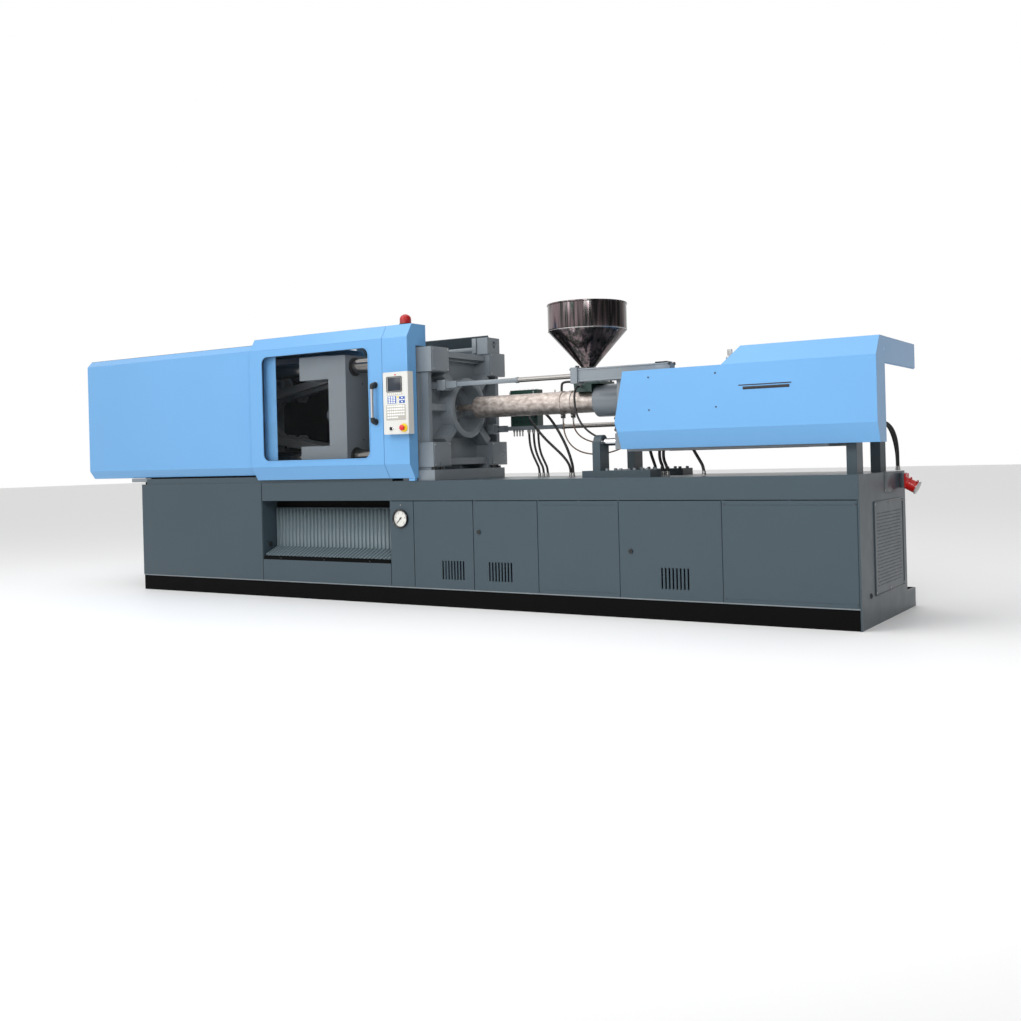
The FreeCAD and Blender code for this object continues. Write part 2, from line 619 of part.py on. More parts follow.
def fixed_platen():
    """Stationary platen: thick plate, four tie-bar bosses, central ring, ribs and base pad."""
    back = "fixed_back"
    face_plate = box(("mould_face", back), ("-platen_half_y + 14", "platen_half_y - 14"),
                     ("platen_low + 8", "platen_high - 8"))
    ring = rod("x", (None, 0, "axis_height"), (back, "platen_back - 18"), "ring_outer")
    ribs = [rib(angle, back, "platen_back - 30", "ring_inner + 20", "ring_outer + 150")
            for angle in (42, 138, 222, 318)]
    webs = [box((back, "platen_back - 40"), ("-platen_half_y + boss_y", "platen_half_y - boss_y"), z)
            for z in (("platen_high - 62", "platen_high - 22"), ("platen_low + 12", "platen_low + 60"))]
    uprights = [box((back, "platen_back - 50"), y, ("platen_low + 100", "platen_high - 100"))
                for y in (("-platen_half_y + 22", "-platen_half_y + 62"),
                          ("platen_half_y - 62", "platen_half_y - 22"))]
    spokes = [box((back, "platen_back - 60"), y, ("axis_height - 24", "axis_height + 24"))
              for y in (("-platen_half_y + 40", "-ring_inner - 10"), ("ring_inner + 10", "platen_half_y - 40"))]
    pad = box(("mould_face + 10", "platen_back + 15"), ("-platen_half_y - 13", "platen_half_y - 60"),
              ("bed_height", "bed_height + 74"))
    feet = [box(("mould_face", "platen_back - 30"), y, ("bed_height + 70", "platen_low + 40"))
            for y in (("-platen_half_y + 10", "-platen_half_y + 170"), ("platen_half_y - 235", "platen_half_y - 75"))]
    block = box(("platen_back - 100", "platen_back - 4"), ("block_front", "block_front + 164"),
                ("platen_high - 10", "block_high"))
    socket = rod("x", (None, "block_front + 90", "block_high - 52"), ("platen_back - 18", "platen_back"), "26")
    bosses = corner_bosses("mould_face", "platen_back")
    blank = fuse("Fixed platen blank", block, face_plate, ring, pad, *feet, *ribs, *webs, *uprights,
                 *spokes, *bosses)
    mouth = rod("x", (None, 0, "axis_height"), (back, "platen_back"), "ring_inner")
    bore = rod("x", (None, 0, "axis_height"), ("mould_face - 1", f"{back} + 1"), "locating_radius")
    return cut("fixed_platen", blank, mouth, bore, socket, *arm_seats(),
               *bar_holes("mould_face - 1", "platen_back + 1", "bar_radius"),
               *mould_holes("mould_face", 1))


def arm_seats():
    """Notches of the platen's back that the two carriage arms are let into."""
    half = "(pull_arm_half + 9)"
    return [box(("fixed_back", "platen_back + 2"), (f"{y} - {half}", f"{y} + {half}"),
                (f"{z} - {half}", f"{z} + {half}")) for y, z in pull_places()]


def tie_bars():
    """Four tie bars, fixed in the stationary platen, that the other two platens slide on."""
    return group("tie_bars", *bar_holes("bar_left", "platen_back - 6", "bar_radius"))


def lug(x, z, y, reach_left, reach_right, radius):
    """Ear of a toggle pivot: a plate between two Y values, round at the pivot."""
    ear = rod("y", (x, None, z), y, radius)
    arm = box((f"{x} - ({reach_left})", f"{x} + ({reach_right})"), y,
              (f"{z} - ({radius})", f"{z} + ({radius})"))
    return [ear, arm]


def layer(name, side, thick="link_thick"):
    """Y range of one toggle layer on one side of the machine's axis."""
    if side > 0:
        return (name, f"{name} + {thick}")
    return (f"-{name} - {thick}", f"-{name}")


def ears(name, side):
    """Y ranges of the two ears either side of a toggle layer."""
    inner, outer = f"{name} - gap - lug_thick", f"{name} - gap"
    far, end = f"{name} + link_thick + gap", f"{name} + link_thick + gap + lug_thick"
    if side > 0:
        return [(inner, outer), (far, end)]
    return [(f"-({end})", f"-({far})"), (f"-({outer})", f"-({inner})")]


def moving_platen():
    """Moving platen: plate, tie-bar bosses, toggle ears, slide shoes and the ejector's cylinder."""
    face_plate = box(("moving_back", "moving_face"), ("-platen_half_y", "platen_half_y"),
                     ("platen_low + 30", "platen_high - 6"))
    bosses = corner_bosses("moving_boss_left", "moving_back", "platen_low", "platen_high")
    parts = [face_plate, *bosses]
    for side in SIDES:
        for z in SIDES:
            height = f"axis_height + {z} * toggle_height"
            for y in ears("front_layer", side):
                parts += lug("pivot_moving", height, y, 0, "moving_back - pivot_moving", "eye_radius")
    shoes = [box(("moving_boss_left", "moving_face - 8"), y, ("bed_height + 1", "platen_low + 40"))
             for y in (("-platen_half_y + 2", "-drop_half - 4"), ("drop_half + 4", "platen_half_y - 2"))]
    frame = [box(("ejector_left - 90", "moving_back"), y, ("axis_height - 45", "axis_height + 45"))
             for y in (("-150 - gap - 22", "-150 - gap"), ("150 + gap", "150 + gap + 22"))]
    bridge = box(("ejector_left - 120", "ejector_left - 90"), ("-150 - gap - 22", "150 + gap + 22"),
                 ("axis_height - 78", "axis_height + 78"))
    barrel = rod("x", (None, 0, "axis_height"), ("ejector_cylinder_left", "ejector_left - 90"),
                 "ejector_cylinder_radius")
    bore = rod("x", (None, 0, "axis_height"), ("ejector_cylinder_left + 20", "ejector_left"),
               "ejector_rod_radius + run_clearance")
    blank = fuse("Moving platen blank", *parts, *shoes, *frame, bridge, barrel)
    pins = [rod("y", ("pivot_moving", None, f"axis_height + {z} * toggle_height"),
                ("-platen_half_y + boss_y", "platen_half_y - boss_y"), "pin_radius + run_clearance")
            for z in SIDES]
    knockouts = [rod("x", (None, f"{y} * ejector_pin_y", "axis_height"), ("moving_back - 1", "moving_face + 1"),
                     "ejector_pin_radius + run_clearance") for y in SIDES]
    return cut("moving_platen", blank, bore, *pins, *knockouts,
               *bar_holes("moving_boss_left - 1", "moving_face + 1", "bar_radius + run_clearance"),
               *mould_holes("moving_face", -1))


def ejector():
    """Ejector plate with its piston rod and the two knock-out rods through the moving platen."""
    slab = box(("ejector_left", "ejector_left + ejector_thick"), ("-ejector_half_y", "ejector_half_y"),
               ("axis_height - ejector_half_z", "axis_height + ejector_half_z"))
    piston = rod("x", (None, 0, "axis_height"), ("ejector_left - 230", "ejector_left + 1"),
                 "ejector_rod_radius")
    rods = [rod("x", (None, f"{y} * ejector_pin_y", "axis_height"),
                ("ejector_left + ejector_thick - 1", "moving_face - 12"), "ejector_pin_radius")
            for y in SIDES]
    return fuse("ejector", slab, piston, *rods)


def tail_platen():
    """Tail platen: box casting with a middle cavity, toggle ears in front and guide rods."""
    block = box(("tail_back", "tail_front"), ("-platen_half_y", "platen_half_y"),
                ("platen_low", "platen_high"))
    cavity = box(("tail_back + tail_wall", "tail_front + 1"), ("-cavity_y", "cavity_y"),
                 ("axis_height - cavity_z", "axis_height + cavity_z"))
    pockets = [box(("tail_back - 1", "tail_front - 70"), y, ("axis_height - 200", "axis_height + 200"))
               for y in (("-platen_half_y + 40", "-cavity_y - 50"), ("cavity_y + 50", "platen_half_y - 40"))]
    feet = [box(("tail_back", "tail_front"), y, ("bed_height + 1", "platen_low + 1"))
            for y in (("-platen_half_y + 2", "-drop_half - 4"), ("drop_half + 4", "platen_half_y - 2"))]
    parts = [block, *feet]
    for side in SIDES:
        for z in SIDES:
            height = f"axis_height + {z} * toggle_height"
            for y in ears("rear_layer", side):
                parts += lug("pivot_tail", height, y, "pivot_tail - tail_front", 0, "eye_radius")
    blank = fuse("Tail platen blank", *parts)
    pins = [rod("y", ("pivot_tail", None, f"axis_height + {z} * toggle_height"),
                ("-platen_half_y", "platen_half_y"), "pin_radius + run_clearance") for z in SIDES]
    rod_hole = rod("x", (None, 0, "axis_height"), ("tail_back - 1", "tail_back + tail_wall + 1"),
                   "rod_radius + run_clearance")
    return cut("tail_platen", blank, cavity, *pockets, rod_hole, *pins,
               *bar_holes("tail_back - 1", "tail_front + 1", "bar_radius + run_clearance"))


def clamp_cylinder():
    """Hydraulic clamp cylinder on the back of the tail platen, with its end caps."""
    tube = rod("x", (None, 0, "axis_height"), ("cylinder_left + 40", "tail_back - 40"), "cylinder_radius")
    head = rod("x", (None, 0, "axis_height"), ("tail_back - 60", "tail_back"), "cylinder_radius + 40")
    cap = box(("cylinder_left", "cylinder_left + 70"), ("-cylinder_radius - 14", "cylinder_radius + 14"),
              ("axis_height - cylinder_radius - 14", "axis_height + cylinder_radius + 14"))
    bore = rod("x", (None, 0, "axis_height"), ("cylinder_left + 60", "tail_back + 1"),
               "rod_radius + run_clearance")
    return cut("clamp_cylinder", fuse("Cylinder", tube, head, cap), bore)


def crosshead():
    """Crosshead with the ears of both cross links and the clamp cylinder's piston rod."""
    left = "cross_x - crosshead_back"
    block = box((left, f"{left} + crosshead_thick"), ("-crosshead_y", "crosshead_y"),
                ("axis_height - crosshead_z", "axis_height + crosshead_z"))
    hub = rod("x", (None, 0, "axis_height"), (left, "cross_x + 20"), "48")
    parts = [block, hub]
    for side in SIDES:
        for z in SIDES:
            parts += lug("cross_x", f"axis_height + {z} * cross_height", ears("cross_layer", side)[side < 0],
                         "crosshead_back - crosshead_thick + 1", 0, "cross_eye - 2")
    piston = rod("x", (None, 0, "axis_height"), ("cylinder_left + 500", f"{left} + 1"), "rod_radius")
    pins = [rod("y", ("cross_x", None, f"axis_height + {z} * cross_height"),
                ("-crosshead_y - 30", "crosshead_y + 30"), "20 + run_clearance") for z in SIDES]
    return cut("crosshead", fuse("Crosshead blank", *parts, piston), *pins)


def link(label, pivot_x, height, angle, length, name, eye, far_eye, pin, reach, stub=None):
    """Toggle link: a bar with an eye at each end on both sides, on one pin at its pivot."""
    parts = []
    for side in SIDES:
        y = layer(name, side)
        parts.append(rod("y", (0, None, 0), y, eye))
        parts.append(rod("y", (length, None, 0), y, far_eye))
        parts.append(box((0, length), y, ("-link_half * 0.86", "link_half * 0.86")))
        ends = [f"{name} - {reach[0]}", f"{name} + link_thick + {reach[1]}"]
        span = ends if side > 0 else [f"-({ends[1]})", f"-({ends[0]})"]
        parts.append(rod("y", (0, None, 0), span, pin))
        if stub:
            ends = [f"{name} - link_gap + gap", f"{name} + 1"]
            span = ends if side > 0 else [f"-({ends[1]})", f"-({ends[0]})"]
            parts.append(rod("y", (stub, None, 0), span, "22"))
    item = fuse(label, *parts)
    item.Placement = Placement(Vector(), Rotation(Vector(0, 1, 0), 30))
    bind(item, "Placement.Rotation.Angle", angle)
    bind(item, "Placement.Base.x", pivot_x)
    bind(item, "Placement.Base.z", height)
    return item


def toggle_links():
    """Six links: rear, front and cross links, above and below the machine's axis."""
    links = []
    for word, z, turn in (("upper", 1, 1), ("lower", -1, -1)):
        height = f"axis_height + {z} * toggle_height"
        cross = f"axis_height + {z} * cross_height"
        ear = ("gap + lug_thick", "gap + lug_thick")
        links.append(link(f"{word}_rear_link", "pivot_tail", height, f"{turn} * rear_angle",
                          "rear_link", "rear_layer", "eye_radius - 4", "knee_radius", "pin_radius",
                          ear, stub="cross_pin"))
        links.append(link(f"{word}_front_link", "pivot_moving", height,
                          f"{turn} * (180 deg - front_angle)", "front_link", "front_layer",
                          "eye_radius - 4", "knee_radius", "pin_radius", ear))
        links.append(link(f"{word}_cross_link", "cross_x", cross, f"{-turn} * cross_angle",
                          "cross_link", "cross_layer", "cross_eye - 4", "cross_eye - 4", "20",
                          ("gap + lug_thick", "0")))
    return links


# ---------------------------------------------------------------- guarding

def folded_front(label, left, right, face, low, bend_low, bend_high, high, tuck, side):
    """Upright sheet with both long edges folded inwards, as an outline across the machine."""
    y = lambda depth: f"{side} * ({face} - ({depth}))"
    t = "sheet_thick"
    outline = [(y(tuck), low), (y(0), bend_low), (y(0), bend_high), (y(tuck), high),
               (y(tuck), f"{high} - 1.5 * {t}"), (y(t), f"{bend_high} - 1"),
               (y(t), f"{bend_low} + 1"), (y(tuck), f"{low} + 1.5 * {t}")]
    return plate(label, "yz", outline, left, f"({right}) - ({left})")


def clamp_covers():
    """Covers over the toggle: front with its end, rear with its end, and the top sheet."""
    t = "sheet_thick"
    bend = ("cover_low + cover_foot_chamfer", "cover_high - cover_chamfer")
    sheets = []
    for label, side in (("clamp_cover_front", -1), ("clamp_cover_rear", 1)):
        wall = folded_front(label, "cover_left", "cover_right", "cover_half", "cover_low", bend[0],
                            bend[1], "cover_high", "cover_chamfer", side)
        sheets.append(wall)
    inner = "cover_half - cover_chamfer"
    top = box(("cover_left", "cover_right"), (f"-({inner})", inner), (f"cover_high - {t}", "cover_high"))
    top.Label = "clamp_cover_top"
    edge, corner = f"cover_half - {t}", f"{inner} - 1"
    end = plate("clamp_cover_end", "yz",
                [(f"-({corner})", f"cover_low + 1.5 * {t} + 2"), (corner, f"cover_low + 1.5 * {t} + 2"),
                 (edge, f"{bend[0]} + 2"), (edge, f"{bend[1]} - 2"),
                 (corner, f"cover_high - 1.5 * {t} - 2"), (f"-({corner})", f"cover_high - 1.5 * {t} - 2"),
                 (f"-({edge})", f"{bend[1]} - 2"), (f"-({edge})", f"{bend[0]} + 2")],
                "cover_left", t)
    return sheets + [top, end]


def gate_outline(face, side, low, bend_low, bend_high, high, depth):
    """Cross-section of the gate and of the column beside it."""
    y = lambda reach: f"{side} * ({face} - ({reach}))"
    t = "sheet_thick"
    return [(y(depth), low), (y(0), bend_low), (y(0), bend_high), (y(depth), high),
            (y(depth), f"{high} - 1.5 * {t}"), (y(t), f"{bend_high} - 1"),
            (y(t), f"{bend_low} + 1"), (y(depth), f"{low} + 1.5 * {t}")]


def gate(label, side, left, right):
    """Sliding safety gate: folded sheet with a stiffened middle, which is a window in front."""
    face = "-gate_front"
    outline = gate_outline(face, side, "gate_low", "gate_chamfer_low", "gate_chamfer_high",
                           "gate_high", "gate_depth")
    skin = plate(label + " skin", "yz", outline, left, f"({right}) - ({left})")
    front = f"{side} * {face}"
    inward = -side
    y = sorted_span(front, f"{front} + {inward} * gate_return", side)
    stiles = [box(x, y, ("gate_chamfer_low + 2", "gate_chamfer_high - 2"))
              for x in ((left, f"{left} + sheet_thick"), (f"{right} - sheet_thick", right))]
    near = sorted_span(front, f"{front} + {inward} * window_frame", side)
    window = ("window_left", "window_right") if side < 0 else (f"{left} + 120", f"{right} - 120")
    frame = rounded_slab(f"{window[0]} - 14", f"{window[1]} + 14", "window_low - 14", "window_high + 14",
                         near, "window_radius + 14")
    if side > 0:
        return fuse(label, skin, *stiles, frame)
    wide = sorted_span(f"{front} - {inward} * 5", f"{front} + {inward} * (window_frame + 5)", side)
    hole = rounded_slab(*window, "window_low", "window_high", wide, "window_radius")
    return cut(label, fuse("Gate blank", skin, *stiles, frame), hole)


def sorted_span(outer, inner, side):
    """Low and high Y of a span that starts at the outside face."""
    return (outer, inner) if side < 0 else (inner, outer)


def gate_window():
    """Clear pane held in the gate's window frame."""
    y = ("gate_front + window_frame - pane_thick - 8", "gate_front + window_frame - 8")
    item = rounded_slab("window_left + 0.5", "window_right - 0.5", "window_low + 0.5",
                        "window_high - 0.5", y, "window_radius - 0.5")
    item.Label = "gate_window"
    return item


def gate_handle():
    """Pull handle of the gate: grip between two elbows on feet."""
    reach = ("gate_front - handle_reach", "gate_front")
    half = "handle_foot / 2"
    parts = [rod("z", ("handle_x", f"{reach[0]} + handle_radius", None),
                 ("handle_low + 12", "handle_high - 12"), "handle_radius")]
    for low, high in (("handle_low", "handle_low + handle_foot"), ("handle_high - handle_foot", "handle_high")):
        parts.append(box((f"handle_x - {half}", f"handle_x + {half}"), (f"{reach[0]} + 2", reach[1]), (low, high)))
    return fuse("gate_handle", *parts)


def control_column():
    """Fixed column beside the gate: folded front, roof, and a side sheet with a foot notch."""
    outline = gate_outline("-gate_front", -1, "gate_low", "gate_chamfer_low", "gate_chamfer_high",
                           "gate_high", "gate_depth")
    front = plate("Column front", "yz", outline, "gate_right + 3", "column_right - gate_right - 3")
    back = "gate_front + column_depth"
    side_outline = [("gate_back", "gate_low"), ("gate_front", "gate_chamfer_low"),
                    ("gate_front", "gate_chamfer_high"), ("gate_back", "gate_high"),
                    (back, "gate_high"), (back, "platen_high + 12"),
                    ("gate_front + column_mid_depth", "platen_high + 12"),
                    ("gate_front + column_mid_depth", "gate_low")]
    cheek = plate("Column side", "yz", side_outline, "column_right - sheet_thick", "sheet_thick")
    roof = box(("gate_right + 3", "column_right"), ("gate_back", back),
               ("gate_high - sheet_thick", "gate_high"))
    floor = box(("gate_right + 3", "column_right"), ("gate_back", "gate_front + column_mid_depth"),
                ("gate_low", "gate_low + sheet_thick"))
    foot = box(("column_right - 60", "column_right - 10"), ("gate_back + 5", "gate_front + column_mid_depth - 6"),
               ("bed_height", "gate_low + 1"))
    return fuse("control_column", front, cheek, roof, floor, foot)


def panel_box():
    """Housing of the control panel on the column."""
    blank = box(("box_left", "box_right"), ("box_front", "gate_front"), ("box_low", "box_high"))
    margin = "face_margin"
    recess = box((f"box_left + {margin}", f"box_right - {margin}"), ("box_front - 1", "box_front + face_thick"),
                 (f"box_low + {margin}", f"box_high - {margin}"))
    stop = rod("y", ("stop_x", None, "stop_z"), ("box_front - 1", "box_front + stop_reach + 22"),
               "stop_radius * 0.5 + run_clearance")
    key = rod("y", ("key_x", None, "key_z"), ("box_front - 1", "box_front + 26"),
              "key_radius * 0.7 + run_clearance")
    return cut("panel_box", blank, recess, stop, key)


def panel_face():
    """Front sheet of the control panel: membrane keys and the screen's window."""
    margin = "face_margin"
    sheet_part = box((f"box_left + {margin}", f"box_right - {margin}"), ("box_front", "box_front + face_thick"),
                     (f"box_low + {margin}", f"box_high - {margin}"))
    ring = rod("y", ("stop_x", None, "stop_z"), ("box_front - 6", "box_front + 1"), "stop_ring")
    collar = rod("y", ("key_x", None, "key_z"), ("box_front - 3", "box_front + 1"), "key_radius + 4")
    stop = rod("y", ("stop_x", None, "stop_z"), ("box_front - 7", "box_front + face_thick + 1"),
               "stop_radius * 0.5 + run_clearance")
    key = rod("y", ("key_x", None, "key_z"), ("box_front - 7", "box_front + face_thick + 1"),
              "key_radius * 0.7 + run_clearance")
    return cut("panel_face", fuse("Face blank", sheet_part, ring, collar), stop, key)


def e_stop_button():
    """Mushroom head of the emergency stop, with its stem."""
    head = rod("y", ("stop_x", None, "stop_z"), ("box_front - stop_reach - 12", "box_front - 14"), "stop_radius")
    stem = rod("y", ("stop_x", None, "stop_z"), ("box_front - 15", "box_front + stop_reach"), "stop_radius * 0.5")
    return fuse("e_stop_button", head, stem)


def key_switch():
    """Turning knob of the key switch."""
    stem = rod("y", ("key_x", None, "key_z"), ("box_front - 4", "box_front + 24"), "key_radius * 0.7")
    disc = rod("y", ("key_x", None, "key_z"), ("box_front - key_reach + 6", "box_front - 3.6"), "key_radius")
    grip = box(("key_x - 3", "key_x + 3"), ("box_front - key_reach", "box_front - key_reach + 7"),
               ("key_z - key_radius", "key_z + key_radius"))
    return fuse("key_switch", stem, disc, grip)


def beacon():
    """Domed warning lamp on the column's roof."""
    centre = ("beacon_x", "beacon_y", None)
    foot = rod("z", centre, ("gate_high", "gate_high + beacon_base"), "beacon_radius")
    body = rod("z", centre, ("gate_high + beacon_base", "beacon_high - 34"), "beacon_radius - 4")
    dome = doc.addObject("Part::Sphere", "Dome")
    bind(dome, "Radius", "beacon_radius - 4")
    bind(dome, "Placement.Base.x", "beacon_x")
    bind(dome, "Placement.Base.y", "beacon_y")
    bind(dome, "Placement.Base.z", "beacon_high - beacon_radius + 4")
    clip = box(("beacon_x - 60", "beacon_x + 60"), ("beacon_y - 60", "beacon_y + 60"),
               ("gate_high - 60", "gate_high + beacon_base"))
    return fuse("beacon", foot, body, cut("Dome cap", dome, clip))


# ---------------------------------------------------------------- injection unit

def guide_rods():
    """Two chromed rods, fixed in the pedestals, that the injection unit slides on."""
    return group("guide_rods", *[rod("x", (None, f"{side} * guide_y", "guide_z"),
                                     ("guide_left", "guide_right"), "guide_radius") for side in SIDES])


def injection_base():
    """Sliding base: two cross blocks on the guide rods under one deck plate."""
    blocks = [box((f"block_{n}_left", f"block_{n}_right"), ("-base_half", "base_half"),
                  ("base_low", "base_slab")) for n in (1, 2)]
    slab = box(("housing_left", "block_2_right"), ("-base_half", "base_half"), ("base_slab", "base_top"))
    tail = box(("block_2_right", "block_2_right + 230"), ("-base_half", "base_half"),
               ("base_slab", "base_top"))
    holes = [rod("x", (None, f"{side} * guide_y", "guide_z"), ("block_1_left - 1", "block_2_right + 1"),
                 "guide_radius + run_clearance") for side in SIDES]
    skirts = [box(("block_1_right", "block_2_left"), y, ("base_low - 18", "base_low + 6"))
              for y in (("-base_half", "-base_half + 30"), ("base_half - 30", "base_half"))]
    return cut("injection_base", fuse("Base blank", *blocks, slab, tail, *skirts), *holes)


def injection_housing():
    """Front housing that carries the barrel, with the two injection cylinders on its back."""
    wall = box(("housing_left", "housing_right"), ("-housing_half", "housing_half"),
               ("base_top", "housing_high"))
    collar = rod("x", (None, 0, "axis_height"), ("collar_left", "housing_left"), "collar_radius")
    parts = [wall, collar]
    holes = []
    for side in SIDES:
        centre = (None, f"{side} * piston_y", "piston_z")
        parts.append(rod("x", centre, ("housing_right", "piston_right"), "piston_radius"))
        holes.append(rod("x", centre, ("housing_right + 40", "piston_right + 1"),
                         "piston_rod + run_clearance"))
    barrel_hole = rod("x", (None, 0, "axis_height"), ("collar_left - 1", "barrel_right"), "barrel_radius")
    stem_hole = rod("x", (None, 0, "axis_height"), ("housing_left - 1", "housing_right + 1"),
                    "barrel_bore + 8")
    holes += pull_cylinder_room()
    return cut("injection_housing", fuse("Housing blank", *parts), barrel_hole, stem_hole, *holes)


def pull_cylinder_room():
    """Room for the two carriage cylinders where they pass the housing."""
    return [box(("collar_left - 100", "housing_right + 1"),
                (f"{-side} * pull_y - pull_body_half", f"{-side} * pull_y + pull_body_half"),
                (f"axis_height + {side} * pull_z - pull_body_half",
                 f"axis_height + {side} * pull_z + pull_body_half")) for side in SIDES]


def injection_drive():
    """Injection plate with the screw's motor and the two piston rods."""
    slab = box(("drive_left", "drive_right"), ("-piston_y - 70", "piston_y + 70"),
               ("axis_height - 140", "axis_height + 140"))
    motor = rod("x", (None, 0, "axis_height"), ("drive_right", "motor_right"), "motor_radius")
    rods = [rod("x", (None, f"{side} * piston_y", "piston_z"), ("housing_right + 60", "drive_left + 1"),
                "piston_rod") for side in SIDES]
    hole = rod("x", (None, 0, "axis_height"), ("drive_left - 1", "drive_right + 60"),
               "barrel_bore + run_clearance")
    return cut("injection_drive", fuse("Drive blank", slab, motor, *rods), hole)


def barrel():
    """Steel barrel with a rounded nose, the nozzle and the feed throat's hole."""
    tube = rod("x", (None, 0, "axis_height"), ("barrel_left + barrel_round", "barrel_right"), "barrel_radius")
    nose = doc.addObject("Part::Cone", "Nose")
    nose.Placement = Placement(Vector(), TURN["x"])
    bind(nose, "Radius1", "barrel_radius - barrel_round")
    bind(nose, "Radius2", "barrel_radius")
    bind(nose, "Height", "barrel_round")
    bind(nose, "Placement.Base.x", "barrel_left")
    bind(nose, "Placement.Base.z", "axis_height")
    nozzle = rod("x", (None, 0, "axis_height"), ("nozzle_left", "barrel_left"), "nozzle_radius")
    bore = rod("x", (None, 0, "axis_height"), ("barrel_left + 20", "barrel_right + 1"),
               "barrel_bore + run_clearance")
    tip = rod("x", (None, 0, "axis_height"), ("nozzle_left - 1", "barrel_left + 21"), "4")
    throat = rod("z", ("hopper_x", 0, None), ("axis_height", "axis_height + barrel_radius + 2"),
                 "throat_radius * 0.6")
    return cut("barrel", fuse("Barrel blank", tube, nose, nozzle), bore, tip, throat)


def screw():
    """Plasticising screw: stem through the barrel to the motor."""
    item = rod("x", (None, 0, "axis_height"), ("screw_left", "drive_right + 50"), "barrel_bore")
    item.Label = "screw"
    return item


def heater_bands():
    """Two clamped heater bands, each with its terminal box underneath."""
    bands = []
    for place in ("band_1", "band_2"):
        span = (f"{place} - band_width / 2", f"{place} + band_width / 2")
        ring = rod("x", (None, 0, "axis_height"), span, "barrel_radius + band_thick")
        hole = rod("x", (None, 0, "axis_height"), (f"{span[0]} - 1", f"{span[1]} + 1"), "barrel_radius")
        box_low = "axis_height - barrel_radius - 30"
        terminal = box((f"{place} - 11", f"{place} + 11"), ("-14", "14"), (box_low, f"{box_low} + 34"))
        bands.append(cut("Band", fuse("Band blank", ring, terminal), hole))
    return group("heater_bands", *bands)


def throat_block():
    """Feed throat block on the barrel, bored under the hopper."""
    blank = box(("throat_left", "throat_right"), ("-throat_half", "throat_half"),
                ("axis_height + barrel_radius * 0.78", "throat_high"))
    seat = rod("x", (None, 0, "axis_height"), ("throat_left - 1", "throat_right + 1"), "barrel_radius")
    bore = rod("z", ("hopper_x", 0, None), ("axis_height", "throat_high + 1"), "throat_radius")
    collar = box(("collar_left", "throat_right + 1"), ("-throat_half - 1", "throat_half + 1"),
                 ("axis_height", "axis_height + collar_radius"))
    return cut("throat_block", blank, seat, bore, collar)


def hopper():
    """Spun stainless hopper: neck, cone and cylinder of one sheet, turned about its axis."""
    body = doc.addObject("PartDesign::Body", "Body")
    body.Label = "hopper"
    sketch = attached_sketch(body, "xz", 0)
    wall = "hopper_wall"
    slant = "hopper_wall * 1.25"
    outline = [
        ("hopper_neck - hopper_wall", "throat_high"), ("hopper_flange", "throat_high"),
        ("hopper_flange", "throat_high + hopper_flange_thick"),
        ("hopper_neck", "throat_high + hopper_flange_thick"), ("hopper_neck", "hopper_neck_high"),
        ("hopper_radius", "hopper_cone_high"), ("hopper_radius", "hopper_high"),
        (f"hopper_radius - {wall}", "hopper_high"), (f"hopper_radius - {wall}", f"hopper_cone_high + {slant}"),
        (f"hopper_neck - {wall}", f"hopper_neck_high + {slant}"),
    ]
    draw_outline(sketch, outline)
    turned = body.newObject("PartDesign::Revolution", "Revolution")
    turned.Profile = sketch
    turned.ReferenceAxis = (sketch, ["V_Axis"])
    turned.Angle = 360
    bind(body, "Placement.Base.x", "hopper_x")
    doc.recompute()
    return body


